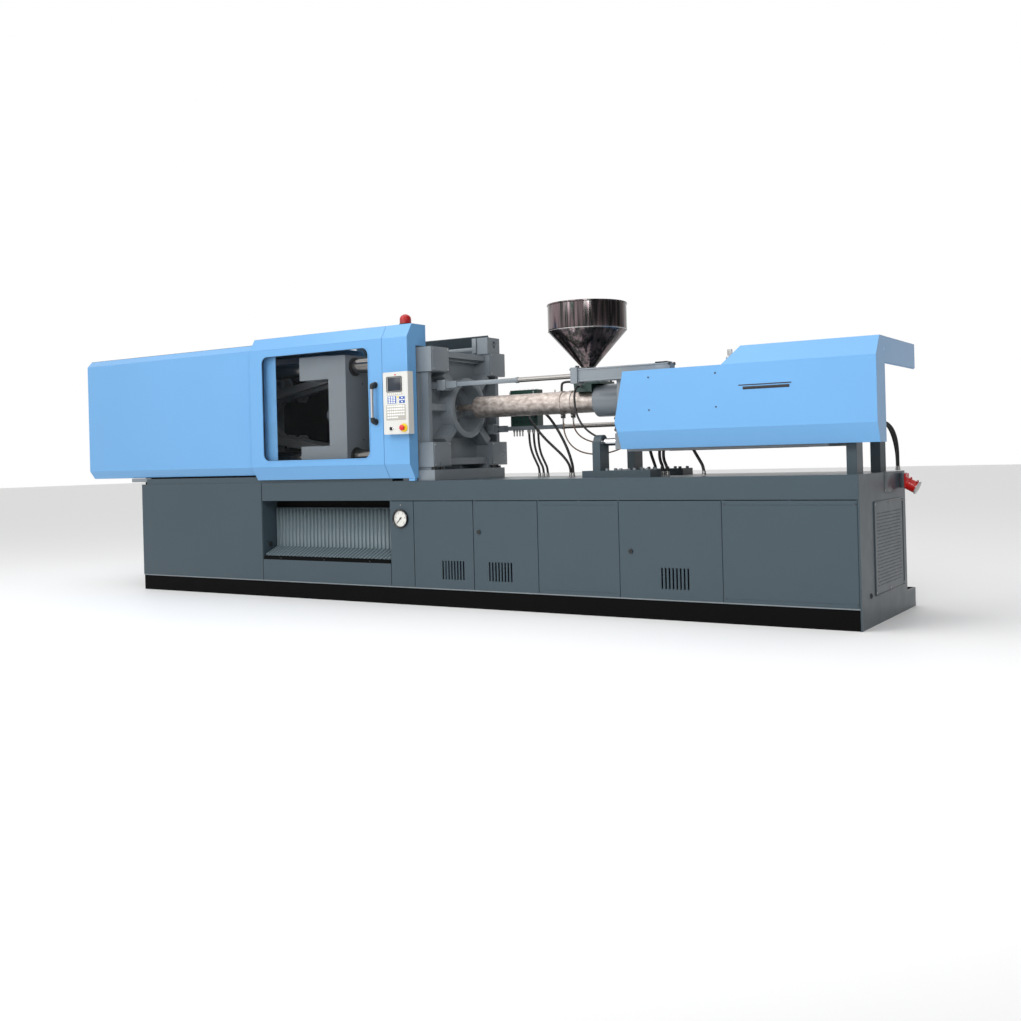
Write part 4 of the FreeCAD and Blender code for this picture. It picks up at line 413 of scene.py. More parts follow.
class Paint(Enum):
    """Finishes of the machine, each with the record's slot it belongs to."""

    BED = (Enamel("bed_grey", (0.046, 0.070, 0.086), 0.36, 0.08, dust=0.03, shine=0.3), "bed_paint")
    # Near black of the base; also the black boards of painted shade in the chute and at the clamp cover.
    BLACK = (Enamel("base_black", (0.002, 0.002, 0.002), 0.7, 0.0, scuff=0.0, dust=0.0, shine=0.08), "base_paint")
    LIP = (Enamel("base_lip", (0.20, 0.23, 0.25), 0.4, 0.1), "bed_paint")
    BLUE = (Enamel("cover_blue", (0.145, 0.36, 0.65), 0.24, 0.2, dust=0.04, drift=0.03, shine=0.25), "cover_blue")
    # Perforated guard sheet whose holes are dots of painted shade.
    MESH = (Perforated("guard_mesh", (0.16, 0.18, 0.19), 0.3, 0.3), "grille_paint")
    WHITE = (Enamel("panel_white", (0.64, 0.64, 0.61), 0.4, 0.1, drift=0.03), "panel_white")
    PLATEN = (CastPaint("platen_grey", (0.19, 0.22, 0.245), 0.38, 0.2, 0.3, dust=0.03), "platen_paint")
    LINK = (CastPaint("link_grey", (0.16, 0.17, 0.175), 0.42, 0.1, 0.35), "link_paint")
    MOTOR = (CastPaint("motor_blue_grey", (0.07, 0.1, 0.13), 0.4, 0.1, 0.2), "motor_paint")
    GREEN = (Enamel("manifold_green", (0.008, 0.042, 0.032), 0.35, 0.3, dust=0.02), "dark_green")
    CHUTE = (Enamel("chute_grey", (0.14, 0.185, 0.205), 0.4, 0.1, dust=0.03), "bed_paint")
    GRILLE = (Enamel("grille_grey", (0.05, 0.07, 0.085), 0.4, 0.1, dust=0.02), "grille_paint")
    STEEL = (Metal("ground_steel", (0.50, 0.50, 0.49), 0.3, mark=0.12), "machined_steel")
    ZINC = (Metal("zinc_plated", (0.45, 0.45, 0.44), 0.36, (20, 20, 20), 0.1), "machined_steel")
    OXIDE = (Metal("black_oxide", (0.07, 0.07, 0.07), 0.42, (20, 20, 20), 0.1), "machined_steel")
    BRASS = (Metal("brass_fitting", (0.66, 0.44, 0.16), 0.28, (20, 20, 20), 0.06), "machined_steel")
    CHROME = (Metal("hard_chrome", (0.70, 0.70, 0.71), 0.1, mark=0.02, stained=0.04), "chrome")
    OILED = (Metal("oiled_rod", (0.25, 0.24, 0.23), 0.2, mark=0.04, stained=0.08), "chrome")
    # Hopper steel with a painted reflection in its colour.
    MIRROR = (StreakedPaintedReflection("mirror_stainless"), "stainless")
    HOT = (HeatTinted("hot_steel"), "barrel_steel")
    RUBBER = (Plastic("hose_rubber", (0.012, 0.012, 0.013), 0.5, 0.3), "hose_rubber")
    BRAID = (Plastic("heater_lead", (0.12, 0.072, 0.045), 0.55, 0.35), "hose_rubber")
    BLACKPLASTIC = (Plastic("black_plastic", (0.012, 0.012, 0.013), 0.4, 0.2), "black_plastic")
    CASE = (Plastic("gauge_case", (0.004, 0.004, 0.0045), 0.3, 0.05, 0.1, 0.02), "dial_case")
    DIAL = (Plastic("dial_white", (0.80, 0.79, 0.74), 0.5, 0.02, dirt=0.04), "dial_case")
    RED = (Plastic("stop_red", (0.62, 0.008, 0.008), 0.28, 0.05, 0.4, 0.03), "stop_red")
    YELLOW = (Plastic("stop_yellow", (0.85, 0.60, 0.02), 0.35, 0.05, 0.2, 0.03), "stop_red")
    KEYWHITE = (Plastic("key_white", (0.88, 0.88, 0.86), 0.45, 0.04, dirt=0.02), "panel_white")
    # Grey of the key field, also the thin painted shadow round the white keys.
    KEYBED = (Plastic("key_field", (0.44, 0.43, 0.39), 0.5, 0.04, dirt=0.03), "panel_white")
    KEYBLUE = (Plastic("key_blue", (0.015, 0.09, 0.38), 0.45, 0.04, dirt=0.02), "panel_white")
    GREY = (Plastic("flap_grey", (0.50, 0.50, 0.49), 0.45, 0.1), "flap_grey")
    SOCKET = (Plastic("socket_red", (0.60, 0.008, 0.006), 0.35, 0.08, 0.2), "socket_red")
    HOSEWHITE = (Plastic("hose_white", (0.72, 0.72, 0.69), 0.4, 0.1, 0.2), "flap_grey")
    PANE = (Clear("clear_pane"), "clear_pane")
    LAMP = (Clear("lamp_cover", (0.42, 0.006, 0.006), 0.12, 0.94), "lamp_red")
    # Display glass with a painted glow.
    SCREEN = (Screen("display_glass"), "black_plastic")

    def material(self) -> bpy.types.Material:
        """Material of the finish, made once."""
        finish = self.value[0]
        return bpy.data.materials.get(FINISH + finish.name) or finish.make()


# ------------------------------------------------------------------ mesh building


class Shape:
    """Mesh under construction."""

    def __init__(self) -> None:
        """Start with nothing."""
        self.bm = bmesh.new()

    def block(self, low: Point, high: Point, bevel: float = 0.0015, steps: int = 2) -> "Shape":
        """Add a box with rounded edges."""
        low, high = Vector(low), Vector(high)
        matrix = Matrix.Translation((low + high) / 2) @ Matrix.Diagonal((*(high - low), 1))
        made = bmesh.ops.create_cube(self.bm, size=1, matrix=matrix)
        if bevel:
            edges = list({edge for vert in made["verts"] for edge in vert.link_edges})
            bmesh.ops.bevel(self.bm, geom=edges, offset=bevel, segments=steps, profile=0.5, affect="EDGES")
        return self

    def lathe(self, origin: Point, along: Vector, profile: Iterable[tuple[float, float]],
              steps: int = 40) -> "Shape":
        """Add a turned solid.

        Args:
            origin: point on the axis that the profile's heights start from.
            along: direction of the axis.
            profile: radius and height of each ring; a radius of 0 closes the end.
            steps: number of sides.

        Returns:
            The shape.
        """
        turn = Matrix.Translation(Vector(origin)) @ Vector(along).to_track_quat("Z", "Y").to_matrix().to_4x4()
        rings = []
        for radius, height in profile:
            if radius <= 0:
                rings.append([self.bm.verts.new(turn @ Vector((0, 0, height)))])
                continue
            angles = [2 * math.pi * (n + 0.5) / steps for n in range(steps)]
            rings.append([self.bm.verts.new(turn @ Vector((radius * math.cos(a), radius * math.sin(a), height)))
                          for a in angles])
        for first, second in zip(rings, rings[1:]):
            for n in range(steps):
                corners = [first[n % len(first)], first[(n + 1) % len(first)],
                           second[(n + 1) % len(second)], second[n % len(second)]]
                unique = list(dict.fromkeys(corners))
                if len(unique) > 2:
                    self.bm.faces.new(unique)
        return self

    def rod(self, origin: Point, along: Vector, length: float, radius: float, bevel: float = 0.001,
            steps: int = 40) -> "Shape":
        """Add a round bar with broken edges."""
        b = min(bevel, length / 3, radius / 3)
        return self.lathe(origin, along, [(0, 0), (radius - b, 0), (radius, b), (radius, length - b),
                                          (radius - b, length), (0, length)], steps)

    def screw(self, place: Point, along: Vector, radius: float = 0.006) -> "Shape":
        """Add a domed screw head with a socket in it."""
        r = radius
        return self.lathe(place, along, [(r, -0.0005), (r, 0.25 * r), (0.8 * r, 0.55 * r), (0.5 * r, 0.65 * r),
                                         (0.45 * r, 0.3 * r), (0, 0.25 * r)], 14)

    def bolt(self, place: Point, along: Vector, radius: float = 0.012) -> "Shape":
        """Add a socket-head cap screw."""
        r = radius
        return self.lathe(place, along, [(r, -0.001), (r, 1.05 * r), (0.88 * r, 1.2 * r), (0.55 * r, 1.2 * r),
                                         (0.52 * r, 0.6 * r), (0, 0.55 * r)], 18)

    def hexagon(self, place: Point, along: Vector, radius: float, height: float) -> "Shape":
        """Add a hexagon nut or head."""
        return self.lathe(place, along, [(0, 0), (radius, 0), (radius, height * 0.9), (radius * 0.9, height),
                                         (0, height)], 6)

    def prism(self, outline: Sequence[Point], along: Vector) -> "Shape":
        """Add an outline of 3-D points pushed out along a vector."""
        face = self.bm.faces.new([self.bm.verts.new(Vector(point)) for point in outline])
        made = bmesh.ops.extrude_face_region(self.bm, geom=[face])
        moved = [item for item in made["geom"] if isinstance(item, bmesh.types.BMVert)]
        bmesh.ops.translate(self.bm, vec=Vector(along), verts=moved)
        return self

    def loop(self, path: Sequence[Vector], section: Sequence[tuple[Vector, Vector]], scale: float) -> "Shape":
        """Add a closed band whose section is moved along a closed path by two offset vectors a point."""
        rings = []
        corners = ((1, 1), (1, -1), (-1, -1), (-1, 1))
        for point, (side, out) in zip(path, section):
            rings.append([self.bm.verts.new(point + side * a * scale + out * b * scale) for a, b in corners])
        for n, ring in enumerate(rings):
            other = rings[(n + 1) % len(rings)]
            for k in range(4):
                self.bm.faces.new([ring[k], ring[(k + 1) % 4], other[(k + 1) % 4], other[k]])
        return self

    def done(self, name: str, body: str, paint: Paint) -> bpy.types.Object:
        """Finish the mesh as a piece that rides on a body.

        Args:
            name: name of the piece.
            body: body that it rides on.
            paint: its finish.

        Returns:
            The piece.
        """
        bmesh.ops.recalc_face_normals(self.bm, faces=self.bm.faces)
        mesh = bpy.data.meshes.new(name)
        self.bm.to_mesh(mesh)
        self.bm.free()
        mesh.shade_smooth()
        mesh.set_sharp_from_angle(angle=math.radians(32))
        piece = bpy.data.objects.new(name, mesh)
        return settle(piece, body, paint)


def settle(piece: bpy.types.Object, body: str, paint: Paint) -> bpy.types.Object:
    """Link a piece to the scene, paint it and let it ride on a body."""
    bpy.context.scene.collection.objects.link(piece)
    piece.data.materials.append(paint.material())
    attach(piece, body)
    LOG.info("piece %s on %s", piece.name, body)
    return piece


def rounded_path(left: float, right: float, low: float, high: float, radius: float, y: float,
                 steps: int = 8) -> tuple[list[Vector], list[tuple[Vector, Vector]]]:
    """Round-cornered rectangle in an upright plane across Y.

    Args:
        left, right, low, high: its sides.
        radius: of its corners.
        y: its place.
        steps: points in each corner.

    Returns:
        Its points, and at each the outward and the Y direction.
    """
    points, frames = [], []
    for number, (x, z) in enumerate(((right, high), (left, high), (left, low), (right, low))):
        cx = x - radius if x == right else x + radius
        cz = z - radius if z == high else z + radius
        for k in range(steps + 1):
            angle = math.pi / 2 * (number + k / steps)
            out = Vector((math.cos(angle), 0, math.sin(angle)))
            points.append(Vector((cx, y, cz)) + out * radius)
            frames.append((out, Axis.Y.value))
    return points, frames


def pipe(name: str, points: Sequence[Point], radius: float, body: str, paint: Paint) -> bpy.types.Object:
    """Bent rigid pipe through points, smooth between them."""
    curve = bpy.data.curves.new(name, "CURVE")
    curve.dimensions = "3D"
    curve.bevel_depth, curve.bevel_resolution, curve.resolution_u = radius, 4, 10
    curve.use_fill_caps = True
    spline = curve.splines.new("NURBS")
    spline.points.add(len(points) - 1)
    for spot, point in zip(spline.points, points):
        spot.co = (*point, 1)
    spline.order_u = 3
    spline.use_endpoint_u = True
    return settle(bpy.data.objects.new(name, curve), body, paint)


def dress(paint: Paint, *nodes: str) -> None:
    """Give CAD nodes a finish."""
    for name in nodes:
        node = bpy.data.objects[name]
        node.data.materials.clear()
        node.data.materials.append(paint.material())


def middle(node: str) -> Vector:
    """Middle of a node's box."""
    low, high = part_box(node)
    return (low + high) / 2


# ------------------------------------------------------------------ bed


@dataclass
class Bed:
    """Bed of the machine: panels, doors, front chute, gauge and right end."""

    ribs: int = 34
    rib_depth: float = 0.014
    gauge_figures: int = 6
    front: float = field(init=False)
    left: float = field(init=False)
    right: float = field(init=False)

    def __post_init__(self) -> None:
        """Read the bed's extent."""
        low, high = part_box("side_panels")
        self.front, self.left, self.right = low.y, low.x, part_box("end_panel")[1].x

    def build(self) -> None:
        """Make everything on the bed."""
        dress(Paint.BLACK, "base_frame")
        dress(Paint.BED, "bed_top_frame", "bed_bulkheads", "side_panels", "door_1", "door_2", "door_3", "end_panel")
        dress(Paint.GRILLE, "end_grille")
        dress(Paint.BLACKPLASTIC, "door_2_lock", "door_3_lock")
        dress(Paint.MOTOR, "pump_motor")
        self.chute()
        self.lips()
        self.panel_screws()
        self.gauge()
        self.end_wall()
        self.inlet()
        self.pump_details()

    def chute(self) -> None:
        """Ribbed chute sheet, its sill rail with three bolts, the recess's small fittings and a black board of painted
        shadow above the sheet.
        """
        low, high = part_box("chute_plate")
        left, right = low.x + 0.004, high.x - 0.004
        back, kink = high.y - 0.002, 0.372
        path = [(back, high.z), (back, kink), (low.y + 0.012, low.z + 0.012), (low.y + 0.004, low.z + 0.006)]
        shape = Shape()
        wave = [(0.0, 0), (0.12, 1), (0.46, 1), (0.58, 0)]
        stations = [(n + at, depth) for n in range(self.ribs) for at, depth in wave] + [(self.ribs, 0)]
        rows = []
        for index, (y, z) in enumerate(path):
            tilt = Vector((0, -1, 0)) if index == 0 else Vector((0, -0.75, 0.66))
            fade = 0.2 if index == len(path) - 1 else 1
            rows.append([shape.bm.verts.new(Vector((left + (right - left) * at / self.ribs, y, z))
                                            + tilt * depth * self.rib_depth * fade) for at, depth in stations])
        for upper, lower in zip(rows, rows[1:]):
            for n in range(len(stations) - 1):
                shape.bm.faces.new([upper[n], upper[n + 1], lower[n + 1], lower[n]])
        piece = shape.done("chute_sheet", "bed", Paint.CHUTE)
        thick = piece.modifiers.new("thickness", "SOLIDIFY")
        thick.thickness, thick.offset = 0.0015, 0
        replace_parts(piece, "chute_plate")
        sill = Shape().block((left, self.front + 0.0005, 0.2885), (right, self.front + 0.024, 0.3105), 0.003)
        sill.done("chute_sill", "bed", Paint.BLACK)
        heads = Shape()
        for share in (0.15, 0.5, 0.85):
            heads.bolt((left + (right - left) * share, self.front + 0.0005, 0.2995), -Axis.Y.value, 0.006)
        for z in (0.70, 0.50, 0.42):
            heads.screw((left - 0.0005, self.front + 0.05, z), Axis.X.value, 0.004)
        heads.done("chute_bolts", "bed", Paint.OXIDE)
        plug = Shape().lathe((left - 0.0003, self.front + 0.08, 0.40), Axis.X.value,
                             [(0.019, 0), (0.019, 0.003), (0.012, 0.006), (0, 0.006)], 28)
        plug.done("chute_plug", "bed", Paint.BLACKPLASTIC)
        # Black board behind the top of the chute sheet: painted shadow for the dark gap above the ribs.
        painted_shadow_board = Shape().block((left, back + 0.006, high.z + 0.001), (right, back + 0.010, 0.735), 0)
        painted_shadow_board.done("chute_shadow_board", "bed", Paint.BLACK)
        curb = Shape().block((left, back - 0.008, high.z - 0.006), (right, back + 0.004, high.z + 0.006), 0.003)
        curb.done("chute_header", "bed", Paint.BED)

    def lips(self) -> None:
        """Bright folded lips between the base and the panels, and edge strips of the doors."""
        shape = Shape()
        shape.block((self.left, self.front + 0.001, 0.1195), (self.right - 0.009, self.front + 0.012, 0.1275), 0.001)
        shape.done("base_lip", "bed", Paint.LIP)
        seal = Shape()
        for name in ("door_1", "door_2", "door_3"):
            low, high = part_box(name)
            y = high.y + 0.001
            seal.block((low.x + 0.004, y, low.z + 0.004), (low.x + 0.016, y + 0.006, high.z - 0.004), 0.002)
            seal.block((high.x - 0.016, y, low.z + 0.004), (high.x - 0.004, y + 0.006, high.z - 0.004), 0.002)
        seal.done("door_seals", "bed", Paint.RUBBER)
        for name, body in (("door_1", "door_1_leaf"), ("door_2", "door_2_leaf"), ("door_3", "door_3_leaf")):
            self.louvre_hoods(name, body)

    def louvre_hoods(self, door: str, body: str) -> None:
        """Pressed lips beside the slots of one door."""
        node = bpy.data.objects[door]
        low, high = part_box(door)
        slots = sorted({round(v.co.x, 4) for v in node.data.vertices if 0.19 < v.co.z < 0.33})
        inner = [x for x in slots if low.x + 0.01 < x < high.x - 0.01]
        shape = Shape()
        for x in inner[::2]:
            shape.prism([(x - 0.0045, low.y, 0.189), (x + 0.0015, low.y - 0.0035, 0.196),
                         (x + 0.0015, low.y - 0.0035, 0.319), (x - 0.0045, low.y, 0.326)], (0.001, 0.0005, 0))
        shape.done(f"{door}_louvre_lips", body, Paint.BED)

    def panel_screws(self) -> None:
        """Domed screws on the fixed panels and pressed creases across two front panels."""
        shape = Shape()
        y = self.front
        for x in (2.2065, self.right - 0.02):
            for z in (0.150, 0.713):
                shape.screw((x, y, z), -Axis.Y.value, 0.0045)
        for left, right in ((-3.004, -1.803), (-1.798, -0.603), (-0.598, 0.597), (0.602, 1.797), (1.802, 2.997)):
            for x in (left + 0.03, (left + right) / 2, right - 0.03):
                for z in (0.16, 0.85):
                    shape.screw((x, 0.508, z), Axis.Y.value, 0.0055)
        for z in (0.17, 0.84):
            for depth in (-0.46, 0.0, 0.46):
                shape.screw((self.left, depth, z), -Axis.X.value, 0.0055)
        shape.done("panel_screws", "bed", Paint.OXIDE)
        flange = Shape()
        for left, right in ((0.90, 1.495), (2.191, 2.995)):
            flange.block((left + 0.03, y - 0.0015, 0.150), (right - 0.03, y + 0.001, 0.1525), 0.0005)
            flange.block((left + 0.03, y - 0.0015, 0.7085), (right - 0.03, y + 0.001, 0.711), 0.0005)
        flange.done("panel_creases", "bed", Paint.BED)

    def gauge(self) -> None:
        """Dial with its ticks and figures, cover glass, bezel ring and three screws."""
        dress(Paint.CASE, "pressure_gauge")
        dress(Paint.BLACKPLASTIC, "gauge_needle")
        low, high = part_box("pressure_gauge")
        x, z, face = (low.x + high.x) / 2, (low.z + high.z) / 2, low.y
        back = face + 0.0068
        Shape().rod((x, back + 0.0015, z), -Axis.Y.value, 0.0015, 0.0595, 0.0003, 72).done(
            "gauge_dial", "bed", Paint.DIAL)
        ticks = Shape()
        for n in range(51):
            angle = math.radians(225 - 270 * n / 50)
            out = Vector((math.cos(angle), 0, math.sin(angle)))
            side = Vector((-out.z, 0, out.x))
            size = 0.009 if n % 10 == 0 else 0.006 if n % 5 == 0 else 0.0035
            wide = 0.0009 if n % 10 == 0 else 0.0004
            centre = Vector((x, back - 0.0002, z))
            corners = [centre + out * (0.0535 - size) + side * wide, centre + out * 0.0535 + side * wide,
                       centre + out * 0.0535 - side * wide, centre + out * (0.0535 - size) - side * wide]
            ticks.prism(corners, (0, -0.0002, 0))
        ticks.done("gauge_ticks", "bed", Paint.BLACKPLASTIC)
        for n in range(self.gauge_figures):
            angle = math.radians(225 - 270 * n / (self.gauge_figures - 1))
            text = bpy.data.curves.new(f"gauge_figure_{n}", "FONT")
            text.body, text.size, text.extrude = str(5 * n), 0.0105, 0.0001
            text.align_x, text.align_y = "CENTER", "CENTER"
            figure = bpy.data.objects.new(f"gauge_figure_{n}", text)
            figure.matrix_world = (Matrix.Translation((x + 0.0385 * math.cos(angle), back - 0.0004,
                                                       z + 0.0385 * math.sin(angle)))
                                   @ Matrix.Rotation(math.pi / 2, 4, "X"))
            settle(figure, "bed", Paint.BLACKPLASTIC)
        Shape().lathe((x, face - 0.0005, z), -Axis.Y.value,
                      [(0.0675, -0.004), (0.0675, 0.0), (0.067, 0.004), (0.0640, 0.007), (0.0605, 0.0055),
                       (0.0570, 0.001), (0.0570, -0.006)], 72).done("gauge_bezel", "bed", Paint.CASE)
        Shape().lathe((x, face + 0.0005, z), -Axis.Y.value,
                      [(0.0597, -0.0008), (0.0597, 0.0), (0.04, 0.0008), (0.02, 0.0012), (0, 0.0013)], 56).done(
            "gauge_glass", "bed", Paint.PANE)
        heads = Shape()
        for angle in (90, 210, 330):
            a = math.radians(angle)
            heads.screw((x + 0.0630 * math.cos(a), face - 0.0068, z + 0.0630 * math.sin(a)), -Axis.Y.value, 0.0028)
        heads.screw((x, self.front, 0.708), -Axis.Y.value, 0.0045)
        heads.done("gauge_screws", "bed", Paint.ZINC)
        pointer = Shape()
        zero = math.radians(225)
        tip = Vector((x + 0.046 * math.cos(zero), back - 0.0022, z + 0.046 * math.sin(zero)))
        side = Vector((-math.sin(zero), 0, math.cos(zero)))
        hub = Vector((x, back - 0.0022, z))
        tail = hub + (hub - tip) * 0.3
        pointer.prism([tail + side * 0.0032, tip + side * 0.0008, tip - side * 0.0008, tail - side * 0.0032],
                      (0, -0.0008, 0))
        pointer.rod(hub, -Axis.Y.value, 0.0022, 0.006, 0.0008, 28)
        pointer.done("gauge_pointer", "needle", Paint.BLACKPLASTIC)

    def end_wall(self) -> None:
        """Fixings of the perforated cover, a cable eye and a blank plate on the right end."""
        low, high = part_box("end_grille")
        heads = Shape()
        for y in (low.y + 0.018, (low.y + high.y) / 2, high.y - 0.018):
            for z in (low.z + 0.018, high.z - 0.018):
                heads.screw((high.x, y, z), Axis.X.value, 0.006)
        for y in (0.032, 0.178):
            for z in (0.772, 0.867):
                heads.screw((self.right + 0.002, y, z), Axis.X.value, 0.004)
        heads.done("end_screws", "bed", Paint.ZINC)
        Shape().block((self.right - 0.0005, 0.02, 0.761), (self.right + 0.002, 0.19, 0.878), 0.0008).done(
            "end_blank_plate", "bed", Paint.GRILLE)
        eye = Shape().lathe((self.right - 0.001, -0.3135, 0.179), Axis.X.value,
                            [(0.016, 0), (0.016, 0.004), (0.0145, 0.006), (0.0105, 0.006), (0.009, 0.004),
                             (0.009, 0.001), (0, 0.001)], 32)
        eye.done("end_eye", "bed", Paint.BLACKPLASTIC)
        rim = Shape()
        for a, b in (((low.y, low.z), (high.y, low.z + 0.006)), ((low.y, high.z - 0.006), (high.y, high.z)),
                     ((low.y, low.z), (low.y + 0.006, high.z)), ((high.y - 0.006, low.z), (high.y, high.z))):
            rim.block((high.x - 0.0005, a[0], a[1]), (high.x + 0.0035, b[0], b[1]), 0.001)
        rim.done("grille_rim", "bed", Paint.GRILLE)

    def inlet(self) -> None:
        """Mains inlet: grey case round the red shroud, screws and the pins in the bore."""
        dress(Paint.SOCKET, "power_socket")
        dress(Paint.GREY, "socket_flap")
        low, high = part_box("power_socket")
        y, case_low = (low.y + high.y) / 2, high.z - 0.084
        shape = Shape()
        shape.block((self.right + 0.0005, y - 0.046, case_low - 0.004),
                    (self.right + 0.030, y + 0.046, high.z + 0.003), 0.004)
        shape.done("inlet_case", "bed", Paint.GRILLE)
        heads = Shape()
        for dy in (-0.037, 0.037):
            for z in (case_low + 0.006, high.z - 0.006):
                heads.screw((self.right + 0.030, y + dy, z), Axis.X.value, 0.0035)
        heads.done("inlet_screws", "bed", Paint.ZINC)
        tilt = Vector((math.cos(math.radians(28)), 0, -math.sin(math.radians(28))))
        up = Vector((-tilt.z, 0, tilt.x))
        base = Vector((self.right + 0.018, y, 0.822)) + tilt * 0.02
        pins = Shape()
        for n in range(5):
            a = 2 * math.pi * n / 5
            spot = base + up * 0.017 * math.cos(a) + Axis.Y.value * 0.017 * math.sin(a)
            pins.rod(spot, tilt, 0.045, 0.003, 0.001, 14)
        pins.done("inlet_pins", "bed", Paint.BRASS)
        ring = Shape()
        for at in (0.030, 0.074):
            ring.lathe(Vector((self.right + 0.018, y, 0.822)) + tilt * at, tilt,
                       [(0.036, 0), (0.0385, 0.001), (0.0385, 0.006), (0.036, 0.007)], 40)
        ring.done("inlet_rings", "bed", Paint.SOCKET)
        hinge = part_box("socket_flap")[1]
        knuckle = Shape().rod((hinge.x - 0.001, y - 0.02, hinge.z - 0.001), Axis.Y.value, 0.04, 0.003)
        knuckle.done("flap_hinge", "bed", Paint.ZINC)

    def pump_details(self) -> None:
        """Cooling fins and terminal box of the motor in the bed."""
        low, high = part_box("pump_motor")
        centre = Vector((0, 0, high.z - 0.145))
        shape = Shape()
        start = high.x - 0.40
        for n in range(28):
            a = 2 * math.pi * n / 28
            if math.sin(a) < -0.75:
                continue
            out = Vector((0, math.cos(a), math.sin(a)))
            side = Vector((0, -out.z, out.y)) * 0.002
            inner = centre + out * 0.144 + Vector((start, 0, 0))
            outer = centre + out * 0.153 + Vector((start, 0, 0))
            shape.prism([inner - side, outer - side, outer + side, inner + side], (0.34, 0, 0))
        shape.block((start + 0.1, -0.05, high.z - 0.01), (start + 0.22, 0.05, high.z + 0.06), 0.006)
        shape.done("motor_fins", "bed", Paint.MOTOR)


# ------------------------------------------------------------------ guarding


@dataclass
class Guarding:
    """Covers over the clamp, both gates, the control column and its panel."""

    gasket: float = 0.010
    key: float = 0.0085

    def build(self) -> None:
        """Make everything on the guarding."""
        dress(Paint.BLUE, "clamp_cover_front", "clamp_cover_rear", "clamp_cover_top", "clamp_cover_end",
              "front_gate", "control_column")
        dress(Paint.GRILLE, "rear_gate")
        dress(Paint.WHITE, "panel_box", "panel_face")
        dress(Paint.PANE, "gate_window")
        dress(Paint.RED, "e_stop_button")
        dress(Paint.BLACKPLASTIC, "key_switch")
        self.covers()
        self.window()
        self.handle()
        self.rear_mesh()
        self.panel()
        self.lamp()
        self.column()

    def covers(self) -> None:
        """Screws, seams and the small bracket of the clamp covers, and black boards of painted shade under the cover
        and inside the rear cover.
        """
        low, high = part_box("clamp_cover_front")
        heads = Shape()
        for side in SIDES:
            for x in (low.x + 0.05, low.x + 0.75, low.x + 1.5, high.x - 0.05):
                heads.screw((x, side * 0.47, high.z), Axis.Z.value, 0.0055)
        for y in (-0.44, 0, 0.44):
            for z in (0.99, 1.45, 1.91):
                heads.screw((low.x, y, z), -Axis.X.value, 0.0055)
        heads.done("cover_screws", "bed", Paint.ZINC)
        seam = Shape()
        for side in SIDES:
            seam.block((low.x + 0.002, side * 0.489 - 0.0015, high.z - 0.0005),
                       (high.x - 0.002, side * 0.489 + 0.0015, high.z + 0.0006), 0)
        seam.done("cover_seams", "bed", Paint.RUBBER)
        trim = Shape()
        trim.block((high.x - 0.012, -0.536, low.z + 0.07), (high.x - 0.004, -0.532, high.z - 0.055), 0.001)
        trim.block((low.x + 0.50, -0.500, 0.900), (low.x + 0.74, -0.470, 0.932), 0.003)
        trim.done("cover_brackets", "bed", Paint.LIP)
        # Black board just inside the gap between the bed top and the clamp cover: painted shadow for the dark gap.
        shade = Shape().block((-2.98, -0.492, 0.8805), (high.x - 0.02, -0.480, low.z + 0.02), 0)
        shade.done("cover_dark_gap", "bed", Paint.BLACK)
        # Black sheet along the inside of the rear cover: painted shade for the dark inside seen through the gate
        # window.
        inside_painted_shade = Shape().block((low.x + 0.08, 0.5285, 1.0), (high.x - 0.12, 0.5305, 1.88), 0.0005)
        inside_painted_shade.done("cover_lining", "bed", Paint.BLACK)
        rail = Shape().block((-1.395, 0.255, 1.846), (-0.066, 0.285, 1.872), 0.002)
        rail.block((-0.105, 0.235, 1.826), (-0.068, 0.262, 1.938), 0.002)
        rail.done("gate_top_rail", "bed", Paint.LIP)

    def window(self) -> None:
        """Rubber gasket round the pane and a pressed edge round the window."""
        low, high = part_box("gate_window")
        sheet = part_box("front_gate")[0].y
        for name, y, size, paint in (("gate_gasket", low.y - 0.002, 0.006, Paint.RUBBER),
                                     ("gate_window_edge", sheet + 0.0012, 0.0035, Paint.BLUE)):
            path, frames = rounded_path(low.x, high.x, low.z, high.z, 0.055, y)
            Shape().loop(path, frames, size).done(name, "gate", paint)
        low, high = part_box("front_gate")
        seams = Shape()
        for z in (1.0, 1.895):
            seams.block((low.x + 0.001, low.y - 0.0004, z - 0.0008),
                        (high.x - 0.001, low.y + 0.0006, z + 0.0008), 0)
        seams.done("gate_fold_lines", "gate", Paint.BLUE)

    def handle(self) -> None:
        """Pull handle: steel grip between two black elbows on a blue strip."""
        low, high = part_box("gate_handle")
        x, wall, reach = (low.x + high.x) / 2, high.y, low.y + 0.015
        elbow = Shape()
        for z, turn in ((low.z, 1), (high.z, -1)):
            elbow.block((x - 0.016, reach + 0.004, z if turn > 0 else z - 0.034),
                        (x + 0.016, wall - 0.001, z + 0.034 if turn > 0 else z), 0.009, 4)
            elbow.rod((x, reach, z + turn * 0.010), Axis.Z.value * turn, 0.040, 0.0155, 0.006, 32)
            elbow.rod((x, wall - 0.006, z + turn * 0.017), Axis.Y.value, 0.006, 0.024, 0.002, 32)
        piece = elbow.done("handle_elbows", "gate", Paint.BLACKPLASTIC)
        grip = Shape().rod((x, reach, low.z + 0.046), Axis.Z.value, high.z - low.z - 0.092, 0.0128, 0.001, 40)
        grip.done("handle_grip", "gate", Paint.CHROME)
        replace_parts(piece, "gate_handle")
        strip = Shape().block((x - 0.021, wall - 0.0015, low.z - 0.02),
                              (x + 0.021, wall + 0.001, high.z + 0.02), 0.001)
        strip.done("handle_strip", "gate", Paint.BLUE)

